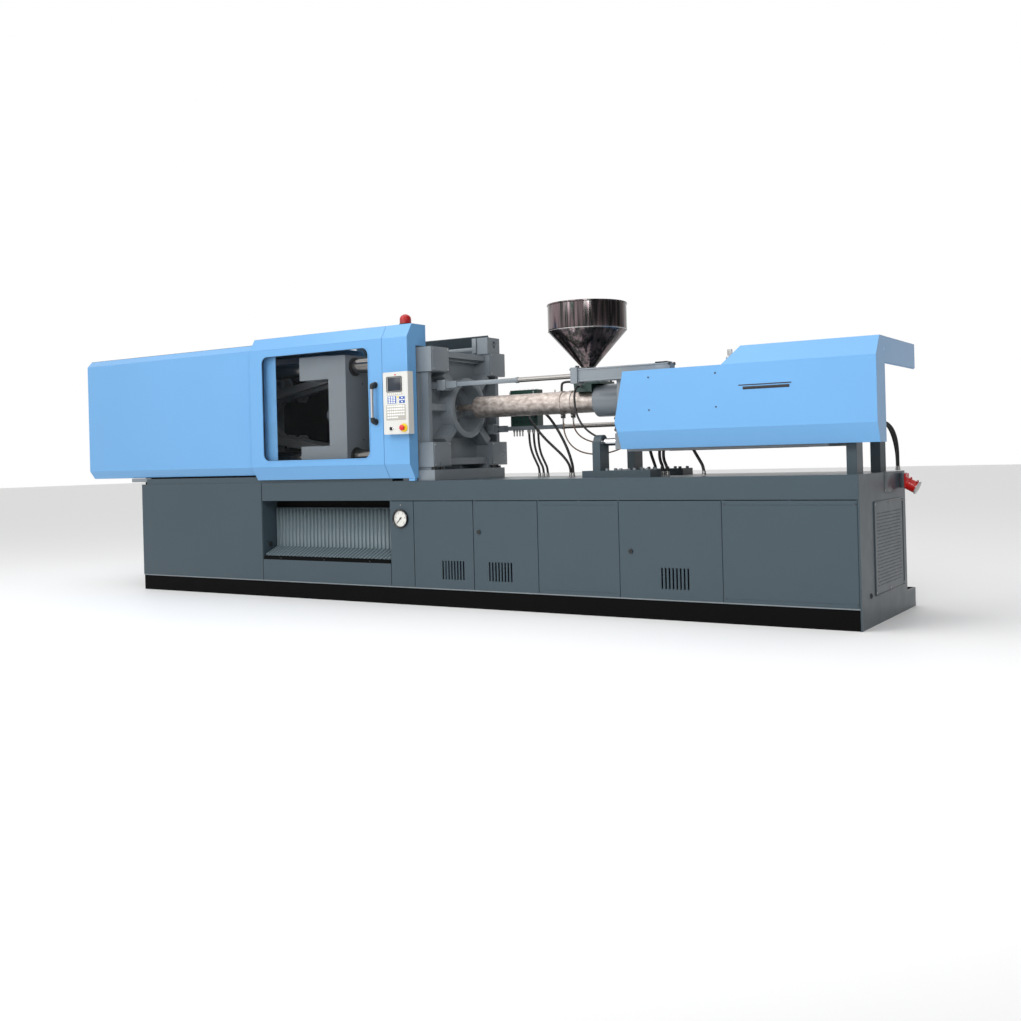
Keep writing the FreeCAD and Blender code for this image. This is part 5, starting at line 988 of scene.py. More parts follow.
    def rear_mesh(self) -> None:
        """Perforated inset of the rear gate and its handle."""
        low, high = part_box("rear_gate")
        y = high.y
        Shape().block((low.x + 0.13, y - 0.0005, 1.05), (high.x - 0.13, y + 0.0012, 1.84), 0.001).done(
            "rear_gate_mesh", "gate_behind", Paint.MESH)
        Shape().block((low.x + 0.13, y - 0.0315, 1.05), (high.x - 0.13, y - 0.0295, 1.84), 0.0005).done(
            "rear_gate_mesh_inside", "gate_behind", Paint.MESH)
        grip = Shape().block((high.x - 0.09, y - 0.001, 1.32), (high.x - 0.06, y + 0.0025, 1.56), 0.001)
        grip.done("rear_gate_pull", "gate_behind", Paint.BLACKPLASTIC)

    def panel(self) -> None:
        """Screen, strip light, keys, emergency stop's ring and key switch's collar on the panel."""
        low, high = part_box("panel_face")
        y = high.y - 0.003
        left, right, top, bottom = low.x, high.x, high.z, low.z
        out = 0.0022

        def slab(shape: Shape, x: float, z: float, wide: float, tall: float, deep: float = out) -> None:
            """Add one raised pad around a place on the face."""
            shape.block((x - wide / 2, y - deep, z - tall / 2), (x + wide / 2, y + 0.0005, z + tall / 2), 0.0009)

        screen = Shape()
        slab(screen, (left + right) / 2 - 0.01, top - 0.078, 0.118, 0.094, 0.0012)
        screen.done("panel_screen", "bed", Paint.SCREEN)
        frame_shape = Shape()
        path, frames = rounded_path(left + 0.026, right - 0.046, top - 0.130, top - 0.026, 0.006, y - 0.001, 4)
        frame_shape.loop(path, frames, 0.0024)
        frame_shape.done("panel_screen_frame", "bed", Paint.BLACKPLASTIC)
        lights = Shape()
        slab(lights, (left + right) / 2, top - 0.012, 0.014, 0.008)
        lights.done("panel_strip_light", "bed", Paint.RED)
        white, blue, yellow, key_field_with_shadow = Shape(), Shape(), Shape(), Shape()
        # Grey field under the keys: its own grey, and round each white key it also shows as a thin painted shadow.
        slab(key_field_with_shadow, (left + right) / 2, top - 0.275, right - left - 0.030, 0.108, 0.0006)
        slab(key_field_with_shadow, (left + right) / 2 - 0.01, top - 0.146, 0.135, 0.013, 0.0006)
        key_field_with_shadow.done("panel_key_field", "bed", Paint.KEYBED)
        for n in range(7):
            slab(white, left + 0.040 + n * 0.0175, top - 0.146, 0.012, 0.007)
        pad_x, pad_z = left + 0.068, top - 0.186
        slab(blue, pad_x, pad_z, 0.076, 0.052, 0.0009)
        for row in range(4):
            for column in range(3):
                slab(white, pad_x - 0.022 + column * 0.022, pad_z + 0.019 - row * 0.0125, 0.016, 0.0085)
        slab(yellow, left + 0.122, pad_z + 0.018, 0.016, 0.0095)
        slab(blue, left + 0.158, pad_z - 0.002, 0.050, 0.046, 0.0009)
        for dx, dz in ((0, 0.014), (0, -0.014), (-0.016, 0), (0.016, 0), (0, 0)):
            slab(white, left + 0.158 + dx, pad_z - 0.002 + dz, 0.0115, 0.0085)
        for row in range(5):
            for column in range(8):
                if row == 4 and column > 4:
                    continue
                slab(white, left + 0.034 + column * 0.0195, top - 0.232 - row * 0.0195, 0.0145, 0.0105)
        white.done("panel_keys_white", "bed", Paint.KEYWHITE)
        blue.done("panel_pads_blue", "bed", Paint.KEYBLUE)
        yellow.done("panel_key_yellow", "bed", Paint.YELLOW)
        stop = middle("e_stop_button")
        ring = Shape().lathe((stop.x, low.y + 0.004, stop.z), -Axis.Y.value,
                             [(0.0305, 0), (0.0305, 0.0035), (0.029, 0.005), (0.017, 0.0055), (0.015, 0.009),
                              (0.0125, 0.009), (0.0125, 0)], 48)
        ring.done("stop_ring", "bed", Paint.YELLOW)
        button_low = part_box("e_stop_button")[0].y
        cap = Shape().lathe((stop.x, button_low + 0.024, stop.z), -Axis.Y.value,
                            [(0.0, 0), (0.011, 0), (0.011, 0.005), (0.019, 0.009), (0.0207, 0.013), (0.0207, 0.018),
                             (0.018, 0.0215), (0.01, 0.0235), (0, 0.024)], 48)
        cap.done("stop_cap", "stop", Paint.RED)
        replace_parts(bpy.data.objects["stop_cap"], "e_stop_button")
        key = middle("key_switch")
        Shape().lathe((key.x, y, key.z), -Axis.Y.value,
                      [(0.0165, 0), (0.0165, 0.004), (0.015, 0.0055), (0.0115, 0.0055), (0.0115, 0.001)], 36).done(
            "key_collar", "bed", Paint.CHROME)
        box_low, box_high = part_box("panel_box")
        heads = Shape()
        for x in (box_low.x + 0.004, box_high.x - 0.004):
            for z in (box_low.z + 0.004, box_high.z - 0.004):
                heads.screw((x, box_low.y, z), -Axis.Y.value, 0.0028)
        heads.done("panel_box_screws", "bed", Paint.ZINC)

    def lamp(self) -> None:
        """Ribbed red lamp cover over its black foot."""
        low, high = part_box("beacon")
        x, y = (low.x + high.x) / 2, (low.y + high.y) / 2
        tall = high.z - low.z
        profile = [(0.0415, 0.012)]
        for n in range(6):
            z = 0.014 + n * 0.005
            profile += [(0.042, z), (0.0408, z + 0.0025)]
        profile += [(0.0415, 0.046), (0.038, 0.058), (0.030, 0.068), (0.018, 0.0755), (0.006, tall - 0.001),
                    (0, tall - 0.0005)]
        dome = Shape().lathe((x, y, low.z), Axis.Z.value, profile, 56).done("lamp_dome", "bed", Paint.LAMP)
        foot = Shape().lathe((x, y, low.z), Axis.Z.value,
                             [(0.0458, 0), (0.0458, 0.009), (0.044, 0.012), (0.0, 0.012)], 56)
        foot.done("lamp_foot", "bed", Paint.BLACKPLASTIC)
        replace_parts(dome, "beacon")

    def column(self) -> None:
        """Fixings of the control column."""
        low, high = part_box("control_column")
        heads = Shape()
        for x in (low.x + 0.03, high.x - 0.03):
            heads.screw((x, -0.395, high.z), Axis.Z.value, 0.005)
        heads.done("column_screws", "bed", Paint.ZINC)


# ------------------------------------------------------------------ clamp


@dataclass
class Clamp:
    """Platens, tie bars and toggle."""

    axis: float = 1.4
    bar_y: float = 0.364
    bar_z: float = 0.335

    def build(self) -> None:
        """Make everything on the clamp."""
        dress(Paint.PLATEN, "fixed_platen", "moving_platen", "tail_platen")
        dress(Paint.OILED, "tie_bars")
        dress(Paint.MOTOR, "clamp_cylinder")
        dress(Paint.LINK, "crosshead", *(f"{level}_{part}_link" for level in ("upper", "lower")
                                         for part in ("rear", "front", "cross")))
        dress(Paint.STEEL, "ejector")
        self.boss_covers()
        self.platen_fittings()
        self.bar_nuts()
        self.pin_caps()
        self.ejector_hoses()
        self.cylinder_rods()

    def boss_covers(self) -> None:
        """Cover plates with corner screws on the fixed platen's four tie-bar bosses."""
        back = min(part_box("fixed_platen")[1].x, 0.035)
        plates, heads = Shape(), Shape()
        for y in SIDES:
            for z in SIDES:
                cy = y * (0.472 - 0.105)
                top = self.axis + 0.425 if z > 0 else self.axis - 0.425 + 0.175
                low, high = (cy - 0.1, top - 0.171), (cy + 0.1, top - 0.004)
                plates.block((back - 0.001, *low), (back + 0.006, *high), 0.004, 3)
                for dy in (0.014, 0.186):
                    for dz in (0.014, 0.153):
                        heads.screw((back + 0.006, low[0] + dy, low[1] + dz), Axis.X.value, 0.0055)
        plates.done("boss_covers", "bed", Paint.PLATEN)
        heads.done("boss_cover_screws", "bed", Paint.ZINC)

    def platen_fittings(self) -> None:
        """Carriage-arm clamps, foot bolts, top web lip, ring face and sprue bore ring of the fixed platen."""
        bolts = Shape()
        for y in (-0.445, -0.36, 0.30, 0.38):
            for x in (-0.20, -0.12, 0.02):
                bolts.bolt((x, y, 0.954), Axis.Z.value, 0.014)
        for y, z in ((-0.307, 1.556), (0.307, 1.244)):
            for dz in (-0.017, 0.017):
                inward = math.copysign(1, -y)
                bolts.bolt((0.09, y + inward * 0.024, z + dz), Axis.Y.value * inward, 0.006)
        bolts.done("platen_bolts", "bed", Paint.OXIDE)
        clamp = Shape()
        for y, z in ((-0.307, 1.556), (0.307, 1.244)):
            clamp.block((-0.02, y - 0.036, z - 0.038), (0.052, y + 0.036, z + 0.038), 0.006, 3)
            clamp.block((0.144, y - 0.0165, z - 0.0165), (0.150, y + 0.0165, z + 0.0165), 0.001)
            clamp.rod((0.630, y, z), Axis.X.value, 0.024, 0.021, 0.003)
        clamp.done("arm_clamps", "bed", Paint.PLATEN)
        arch = Shape()
        arch.block((-0.098, -0.235, 1.742), (-0.05, 0.235, 1.764), 0.006, 3)
        arch.done("platen_top_web_lip", "bed", Paint.PLATEN)
        ring = Shape().lathe((0.0165, 0, self.axis), Axis.X.value,
                             [(0.1755, -0.01), (0.178, 0.0), (0.184, 0.003), (0.212, 0.003), (0.218, 0),
                              (0.2205, -0.01)], 96)
        ring.done("platen_ring_face", "bed", Paint.PLATEN)
        bore = Shape().lathe((-0.102, 0, self.axis), Axis.X.value,
                             [(0.081, 0.0), (0.083, 0.002), (0.10, 0.002), (0.102, 0)], 64)
        bore.done("sprue_bore_ring", "bed", Paint.STEEL)

    def bar_nuts(self) -> None:
        """Split nuts of the tie bars behind the tail platen and rings at the moving platen."""
        nuts, seals = Shape(), Shape()
        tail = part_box("tail_platen")[0].x
        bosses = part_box("moving_platen")[1].x
        for y in SIDES:
            for z in SIDES:
                centre = (tail, y * self.bar_y, self.axis + z * self.bar_z)
                nuts.lathe(centre, -Axis.X.value, [(0.053, 0), (0.098, 0), (0.098, 0.075), (0.092, 0.082),
                                                   (0.053, 0.082)], 48)
                seals.lathe((bosses, centre[1], centre[2]), Axis.X.value,
                            [(0.0535, 0), (0.070, 0), (0.070, 0.005), (0.0665, 0.008), (0.0535, 0.008)], 48)
        nuts.done("mould_height_nuts", "tail", Paint.STEEL)
        seals.done("bar_wipers", "moving", Paint.BLACKPLASTIC)

    def pin_caps(self) -> None:
        """End caps of the toggle pins on both platens."""
        for name, body, x, reach in (("tail_pin_caps", "tail", -2.069, 0.296),
                                     ("platen_pin_caps", "moving", -1.16, 0.156)):
            shape = Shape()
            for y in SIDES:
                for z in SIDES:
                    shape.lathe((x, y * reach, self.axis + z * 0.3), Axis.Y.value * y,
                                [(0.040, -0.0005), (0.040, 0.004), (0.037, 0.006), (0, 0.006)], 32)
            shape.done(name, body, Paint.STEEL)

    def ejector_hoses(self) -> None:
        """White oil pipes and the valve block of the ejector's cylinder."""
        block = Shape().block((-1.32, -0.035, 1.448), (-1.22, 0.035, 1.50), 0.004)
        block.block((-1.20, -0.16, 1.60), (-0.95, 0.16, 1.618), 0.003)
        block.done("ejector_valve", "moving", Paint.LINK)
        for n, x in enumerate((-1.30, -1.24)):
            end = -0.21 - 0.03 * n
            route = [(x, -0.02, 1.50), (x, -0.04, 1.54), (x + 0.05, -0.10, 1.57), (x + 0.16, -0.16, 1.565),
                     (x + 0.30, -0.20, 1.54), (-0.935, end, 1.50), (-0.929, end, 1.47)]
            pipe(f"ejector_pipe_{n + 1}", route, 0.009, "moving", Paint.HOSEWHITE)

    def cylinder_rods(self) -> None:
        """Tie rods and their nuts on the clamp cylinder."""
        low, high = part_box("clamp_cylinder")
        shape = Shape()
        for y in SIDES:
            for z in SIDES:
                across, up = y * 0.088, self.axis + z * 0.088
                shape.rod((low.x + 0.06, across, up), Axis.X.value, high.x - low.x - 0.12, 0.011)
                shape.hexagon((low.x - 0.012, across, up), Axis.X.value, 0.019, 0.014)
        shape.done("clamp_cylinder_rods", "tail", Paint.STEEL)


# ------------------------------------------------------------------ injection unit


@dataclass
class Injection:
    """Barrel, hopper, cover, carriage and slide of the injection unit."""

    axis: float = 1.4
    pull_y: float = 0.307
    pull_z: float = 0.156
    neck_left: float = 1.110
    housing_left: float = 1.400

    def build(self) -> None:
        """Make everything on the injection unit."""
        dress(Paint.CHROME, "guide_rods")
        dress(Paint.STEEL, "screw")
        dress(Paint.PLATEN, "injection_base", "injection_housing", "injection_drive", "carriage_cylinders")
        dress(Paint.BLUE, "injection_cover")
        dress(Paint.GREEN, "throat_block", "water_manifold")
        self.barrel()
        self.bands()
        self.hopper()
        self.housing()
        self.pull_cylinders()
        self.cover()
        self.slides()
        self.manifold()

    def barrel(self) -> None:
        """Barrel with a rounded nose, a stepped nozzle and its hexagon."""
        low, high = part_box("barrel")
        tip, right, radius, nose = low.x, high.x, 0.078, 0.085
        profile = [(0.004, 0.0), (0.010, 0.0), (0.019, 0.014), (0.0255, 0.022), (0.0255, nose - tip)]
        for n in range(7):
            a = math.pi / 2 * n / 6
            profile.append((radius - 0.024 + 0.024 * math.sin(a), nose - tip + 0.024 * (1 - math.cos(a))))
        profile += [(radius, 0.7 - tip), (radius, right - tip), (0.03, right - tip)]
        body = Shape().lathe((tip, 0, self.axis), Axis.X.value, profile, 96)
        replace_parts(body.done("barrel_body", "carriage", Paint.HOT), "barrel")
        nut = Shape().hexagon((-0.03, 0, self.axis), Axis.X.value, 0.0258, 0.03)
        nut.done("nozzle_hexagon", "carriage", Paint.HOT)
        neck, reach = self.neck_left, right - self.neck_left - 0.001
        collar = Shape().lathe((neck, 0, self.axis), Axis.X.value,
                               [(0.0785, 0), (0.107, 0.0), (0.111, 0.004), (0.111, 0.060), (0.104, 0.064),
                                (0.104, 0.072), (0.111, 0.076), (0.111, reach)], 72)
        for n in range(8):
            a = 2 * math.pi * (n + 0.5) / 8
            collar.bolt((neck, 0.095 * math.cos(a), self.axis + 0.095 * math.sin(a)), -Axis.X.value, 0.008)
        collar.done("barrel_collar", "carriage", Paint.PLATEN)
        sensors = Shape()
        for x in (0.36, 0.56, 0.74):
            sensors.hexagon((x, 0.03, self.axis + 0.0715), Axis.Z.value, 0.008, 0.01)
            sensors.rod((x, 0.03, self.axis + 0.08), Axis.Z.value, 0.018, 0.004)
        sensors.done("thermocouples", "carriage", Paint.ZINC)

    def bands(self) -> None:
        """Heater bands with their clamp ears and terminal boxes."""
        low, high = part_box("heater_bands")
        shape, ears, boxes = Shape(), Shape(), Shape()
        for x in (0.819, 0.900):
            shape.lathe((x - 0.017, 0, self.axis), Axis.X.value,
                        [(0.0785, 0), (0.0812, 0), (0.0822, 0.0015), (0.0822, 0.0325), (0.0812, 0.034),
                         (0.0785, 0.034)], 72)
            boxes.block((x - 0.012, -0.0155, low.z), (x + 0.012, 0.0155, low.z + 0.034), 0.003)
            ears.bolt((x, -0.016, low.z + 0.018), -Axis.Y.value, 0.004)
        piece = shape.done("band_rings", "carriage", Paint.HOT)
        ears.done("band_screws", "carriage", Paint.STEEL)
        boxes.done("band_terminals", "carriage", Paint.BLACKPLASTIC)
        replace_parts(piece, "heater_bands")
        pipe("band_lead_bridge", [(0.812, 0, 1.478), (0.812, 0, 1.522), (0.822, 0, 1.540), (0.862, 0, 1.545),
                                  (0.908, 0, 1.540), (0.922, 0, 1.522), (0.922, 0, 1.478)], 0.0085, "carriage",
             Paint.RUBBER)

    def hopper(self) -> None:
        """Spun hopper with a rolled rim, weld beads, flange bolts and a slide gate."""
        low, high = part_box("hopper")
        x = (low.x + high.x) / 2
        base, flange, radius, tall = low.z, 0.012, (high.x - low.x) / 2, high.z - low.z
        neck, cone = 1.634 - base, 1.885 - base
        outside = [(0.0945, 0), (0.0945, flange - 0.001), (0.0935, flange), (0.050, flange), (0.050, neck - 0.004),
                   (0.052, neck + 0.004), (radius - 0.008, cone - 0.010), (radius - 0.0015, cone),
                   (radius, cone + 0.01), (radius, tall - 0.012), (radius + 0.0045, tall - 0.010),
                   (radius + 0.0055, tall - 0.005),
                   (radius + 0.004, tall - 0.0005), (radius, tall), (radius - 0.003, tall - 0.002)]
        inside = [(radius - 0.003, cone + 0.010), (radius - 0.011, cone - 0.007), (0.049, neck + 0.006),
                  (0.047, neck), (0.047, 0.001)]
        body = Shape().lathe((x, 0, base), Axis.Z.value, outside + inside, 144)
        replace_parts(body.done("hopper_body", "carriage", Paint.MIRROR), "hopper")
        beads = Shape()
        for r, z in ((radius - 0.001, cone), (0.0505, neck)):
            beads.lathe((x, 0, base), Axis.Z.value, [(r, z - 0.0025), (r + 0.002, z), (r, z + 0.0025)], 144)
        beads.done("hopper_welds", "carriage", Paint.STEEL)
        bolts = Shape()
        for n in range(4):
            a = math.pi / 4 + math.pi / 2 * n
            bolts.bolt((x + 0.076 * math.cos(a), 0.076 * math.sin(a), base + flange), Axis.Z.value, 0.008)
        bolts.done("hopper_bolts", "carriage", Paint.STEEL)
        gate = Shape().block((x - 0.066, -0.115, base + 0.030), (x + 0.066, 0.062, base + 0.037), 0.002)
        gate.rod((x, -0.115, base + 0.0335), -Axis.Y.value, 0.028, 0.0065)
        gate.done("hopper_slide_gate", "carriage", Paint.STEEL)

    def housing(self) -> None:
        """Bolts, oil pipes and fittings on the housing, injection cylinders and drive."""
        bolts = Shape()
        for y in (-0.27, -0.14, 0.14, 0.27):
            for z in (1.22, 1.47):
                bolts.bolt((self.housing_left, y, z), -Axis.X.value, 0.012)
        for side in SIDES:
            for n in range(6):
                a = 2 * math.pi * n / 6
                place = (1.9, side * 0.215 + 0.046 * math.cos(a), self.axis + 0.046 * math.sin(a))
                bolts.bolt(place, Axis.X.value, 0.007)
        for y in SIDES:
            for x in (0.988, 1.150):
                bolts.bolt((x, y * 0.099, 1.532), Axis.Z.value, 0.0075)
        bolts.done("housing_bolts", "carriage", Paint.OXIDE)
        drive = Shape()
        for n in range(10):
            a = 2 * math.pi * n / 10
            drive.bolt((2.34, 0.09 * math.cos(a), self.axis + 0.09 * math.sin(a)), Axis.X.value, 0.009)
        for x in (2.10, 2.17, 2.24):
            drive.lathe((x, 0, self.axis), Axis.X.value,
                        [(0.110, 0), (0.116, 0.004), (0.116, 0.022), (0.110, 0.026)], 64)
        drive.done("screw_motor_details", "drive", Paint.MOTOR)
        nuts = Shape()
        for side in SIDES:
            nuts.hexagon((2.06, side * 0.215, self.axis), Axis.X.value, 0.042, 0.03)
        nuts.done("piston_nuts", "drive", Paint.STEEL)
        for side in SIDES:
            route = [(x, side * y, z) for x, y, z in (
                (1.54, 0.215, 1.455), (1.54, 0.215, 1.50), (1.57, 0.19, 1.522), (1.63, 0.15, 1.524),
                (1.69, 0.14, 1.524), (1.76, 0.15, 1.52), (1.82, 0.2, 1.50), (1.82, 0.215, 1.458))]
            pipe(f"housing_pipe_{(side + 3) // 2}", route, 0.009, "carriage", Paint.STEEL)

    def pull_cylinders(self) -> None:
        """Tie rods, ribs, heads and fittings of the two carriage cylinders."""
        ribs, nuts, ports = Shape(), Shape(), Shape()
        for y, z in ((-self.pull_y, self.axis + self.pull_z), (self.pull_y, self.axis - self.pull_z)):
            for dy in SIDES:
                for dz in SIDES:
                    ribs.rod((1.14, y + dy * 0.0375, z + dz * 0.0375), Axis.X.value, 0.652, 0.0065, 0.001, 20)
                    nuts.hexagon((1.792, y + dy * 0.0375, z + dz * 0.0375), Axis.X.value, 0.011, 0.011)
                    nuts.bolt((1.09, y + dy * 0.0405, z + dz * 0.0405), -Axis.X.value, 0.0075)
            for low_y, low_z, high_y, high_z in ((-0.041, -0.041, 0.041, -0.034), (-0.041, 0.034, 0.041, 0.052),
                                                 (-0.041, -0.041, -0.034, 0.052), (0.034, -0.041, 0.041, 0.052)):
                ribs.block((1.700, y + low_y, z + low_z), (1.785, y + high_y, z + high_z), 0.002)
            ports.hexagon((1.115, y, z + 0.053), Axis.Z.value, 0.014, 0.014)
            ports.hexagon((1.74, y, z + 0.0405), Axis.Z.value, 0.013, 0.013)
            ports.lathe((1.0905, y, z), -Axis.X.value, [(0.0172, 0), (0.034, 0), (0.034, 0.008), (0.028, 0.014),
                                                      (0.0172, 0.014)], 40)
        ribs.done("pull_cylinder_ribs", "carriage", Paint.PLATEN)
        nuts.done("pull_cylinder_nuts", "carriage", Paint.OXIDE)
        ports.done("pull_cylinder_ports", "carriage", Paint.OXIDE)
        dress(Paint.PLATEN, "carriage_rods")
        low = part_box("carriage_rods")
        rods = Shape()
        for y, z in ((-self.pull_y, self.axis + self.pull_z), (self.pull_y, self.axis - self.pull_z)):
            rods.rod((0.64, y, z), Axis.X.value, low[1].x - 0.641, 0.01704, 0.001, 48)
        rods.done("pull_rod_chrome", "bed", Paint.OILED)
        y, z, half = -self.pull_y, self.axis + self.pull_z, 0.0155
        sleeve = Shape().block((0.155, y - half, z - half), (0.636, y + half, z + half), 0.002)
        sleeve.done("pull_arm_sleeve", "bed", Paint.PLATEN)

    def cover(self) -> None:
        """Screws, vents, eye, foot rails and end lip of the injection cover."""
        low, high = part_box("injection_cover")
        heads = Shape()
        for x in (1.695, 2.142):
            for z in (1.300, 1.505):
                heads.screw((x, low.y, z), -Axis.Y.value, 0.0055)
        for y in (-0.36, -0.15, 0.12, 0.38):
            for x in (1.60, 2.12):
                heads.screw((x, y, 1.553), Axis.Z.value, 0.005)
            heads.screw((3.05, y + 0.04, high.z), Axis.Z.value, 0.005)
        heads.done("injection_cover_screws", "carriage", Paint.OXIDE)
        slots = Shape()
        slots.block((2.288, low.y - 0.0008, 1.4185), (2.614, low.y + 0.001, 1.4255), 0.0005)
        slots.block((2.315, low.y - 0.0014, 1.39525), (2.602, low.y + 0.001, 1.41275), 0.0005)
        count = 24
        for n in range(count):
            x = 2.315 + 0.287 * (n + 0.5) / count
            slots.block((x - 0.0035, low.y - 0.0026, 1.397), (x + 0.0035, low.y - 0.0010, 1.411), 0.0006)
        slots.done("injection_cover_vents", "carriage", Paint.BLACKPLASTIC)
        eye = Shape().lathe((2.200, low.y + 0.10, 1.592), Vector((-0.75, 0, 0.66)),
                            [(0.022, 0), (0.022, 0.012), (0.016, 0.02), (0, 0.02)], 32)
        eye.hexagon((2.200, low.y + 0.10, 1.60), Axis.Z.value, 0.016, 0.050)
        eye.done("injection_cover_eye", "carriage", Paint.STEEL)
        rail = Shape()
        for y in SIDES:
            rail.block((1.49, y * 0.33 - 0.012, 1.045), (2.79, y * 0.33 + 0.012, 1.068), 0.003)
        rail.done("cover_foot_rails", "carriage", Paint.PLATEN)
        lip = Shape().block((high.x - 0.014, low.y + 0.182, 1.075), (high.x - 0.004, low.y + 0.186, 1.512), 0.001)
        lip.block((high.x - 0.014, low.y + 0.184, 1.512), (high.x - 0.004, high.y - 0.004, 1.517), 0.001)
        lip.done("injection_cover_end_lip", "carriage", Paint.BLUE)

    def slides(self) -> None:
        """Bolts of the pedestals, wipers on the guide rods and the base's end stop."""
        bolts, wipers = Shape(), Shape()
        for side in SIDES:
            y = side * 0.25
            for x in (1.32, 1.42, 1.52, 1.61):
                for dy in (-0.06, 0.06):
                    bolts.bolt((x, y + dy, 0.925), Axis.Z.value, 0.011)
            bolts.rod((1.2135, y, 1.112), -Axis.X.value, 0.012, 0.030, 0.003)
            bolts.rod((2.945, y, 1.112), Axis.X.value, 0.012, 0.030, 0.003)
            for x, way in ((1.39, -1), (1.49, 1), (2.46, -1), (2.56, 1)):
                wipers.lathe((x, y, 1.112), Axis.X.value * way,
                             [(0.0255, 0), (0.037, 0), (0.037, 0.004), (0.033, 0.007), (0.0255, 0.007)], 36)
        bolts.done("pedestal_bolts", "bed", Paint.PLATEN)
        wipers.done("slide_wipers", "carriage", Paint.BLACKPLASTIC)

    def manifold(self) -> None:
        """Ports, flow tubes and hose tails of the water manifold."""
        low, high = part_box("water_manifold")
        ports, knobs, tails = Shape(), Shape(), Shape()
        for row, z in enumerate((1.292, 1.325)):
            for n in range(6):
                ports.lathe((low.x + 0.025 + n * 0.037, low.y, z), -Axis.Y.value,
                            [(0.0095, -0.001), (0.0095, 0.003), (0.006, 0.003), (0.006, -0.0005), (0, -0.0005)], 20)
        for n in range(6):
            x = low.x + 0.025 + n * 0.037
            knobs.rod((x, low.y - 0.001, 1.40), Axis.Z.value, 0.10, 0.008, 0.001, 20)
            knobs.rod((x, low.y + 0.04, high.z - 0.001), Axis.Z.value, 0.012, 0.012, 0.002, 20)
        for n in range(3):
            x = low.x + 0.12 + n * 0.04
            tails.hexagon((x, (low.y + high.y) / 2 + 0.022, low.z - 0.012), Axis.Z.value, 0.0145, 0.012)
        for n in range(4):
            x = low.x + 0.015 + n * 0.025
            tails.rod((x, low.y + 0.02, low.z - 0.045), Axis.Z.value, 0.047, 0.0055, 0.001, 20)
            tails.hexagon((x, low.y + 0.02, low.z - 0.012), Axis.Z.value, 0.0085, 0.012)
        ports.done("manifold_ports", "bed", Paint.BLACKPLASTIC)
        knobs.done("manifold_flow_tubes", "bed", Paint.PANE)
        tails.done("manifold_tails", "bed", Paint.ZINC)


# ------------------------------------------------------------------ hoses


@dataclass(frozen=True)
class Run:
    """One hose or cable: its diameter and route in millimetres."""

    diameter: float
    points: tuple[tuple[float, float, float], ...]


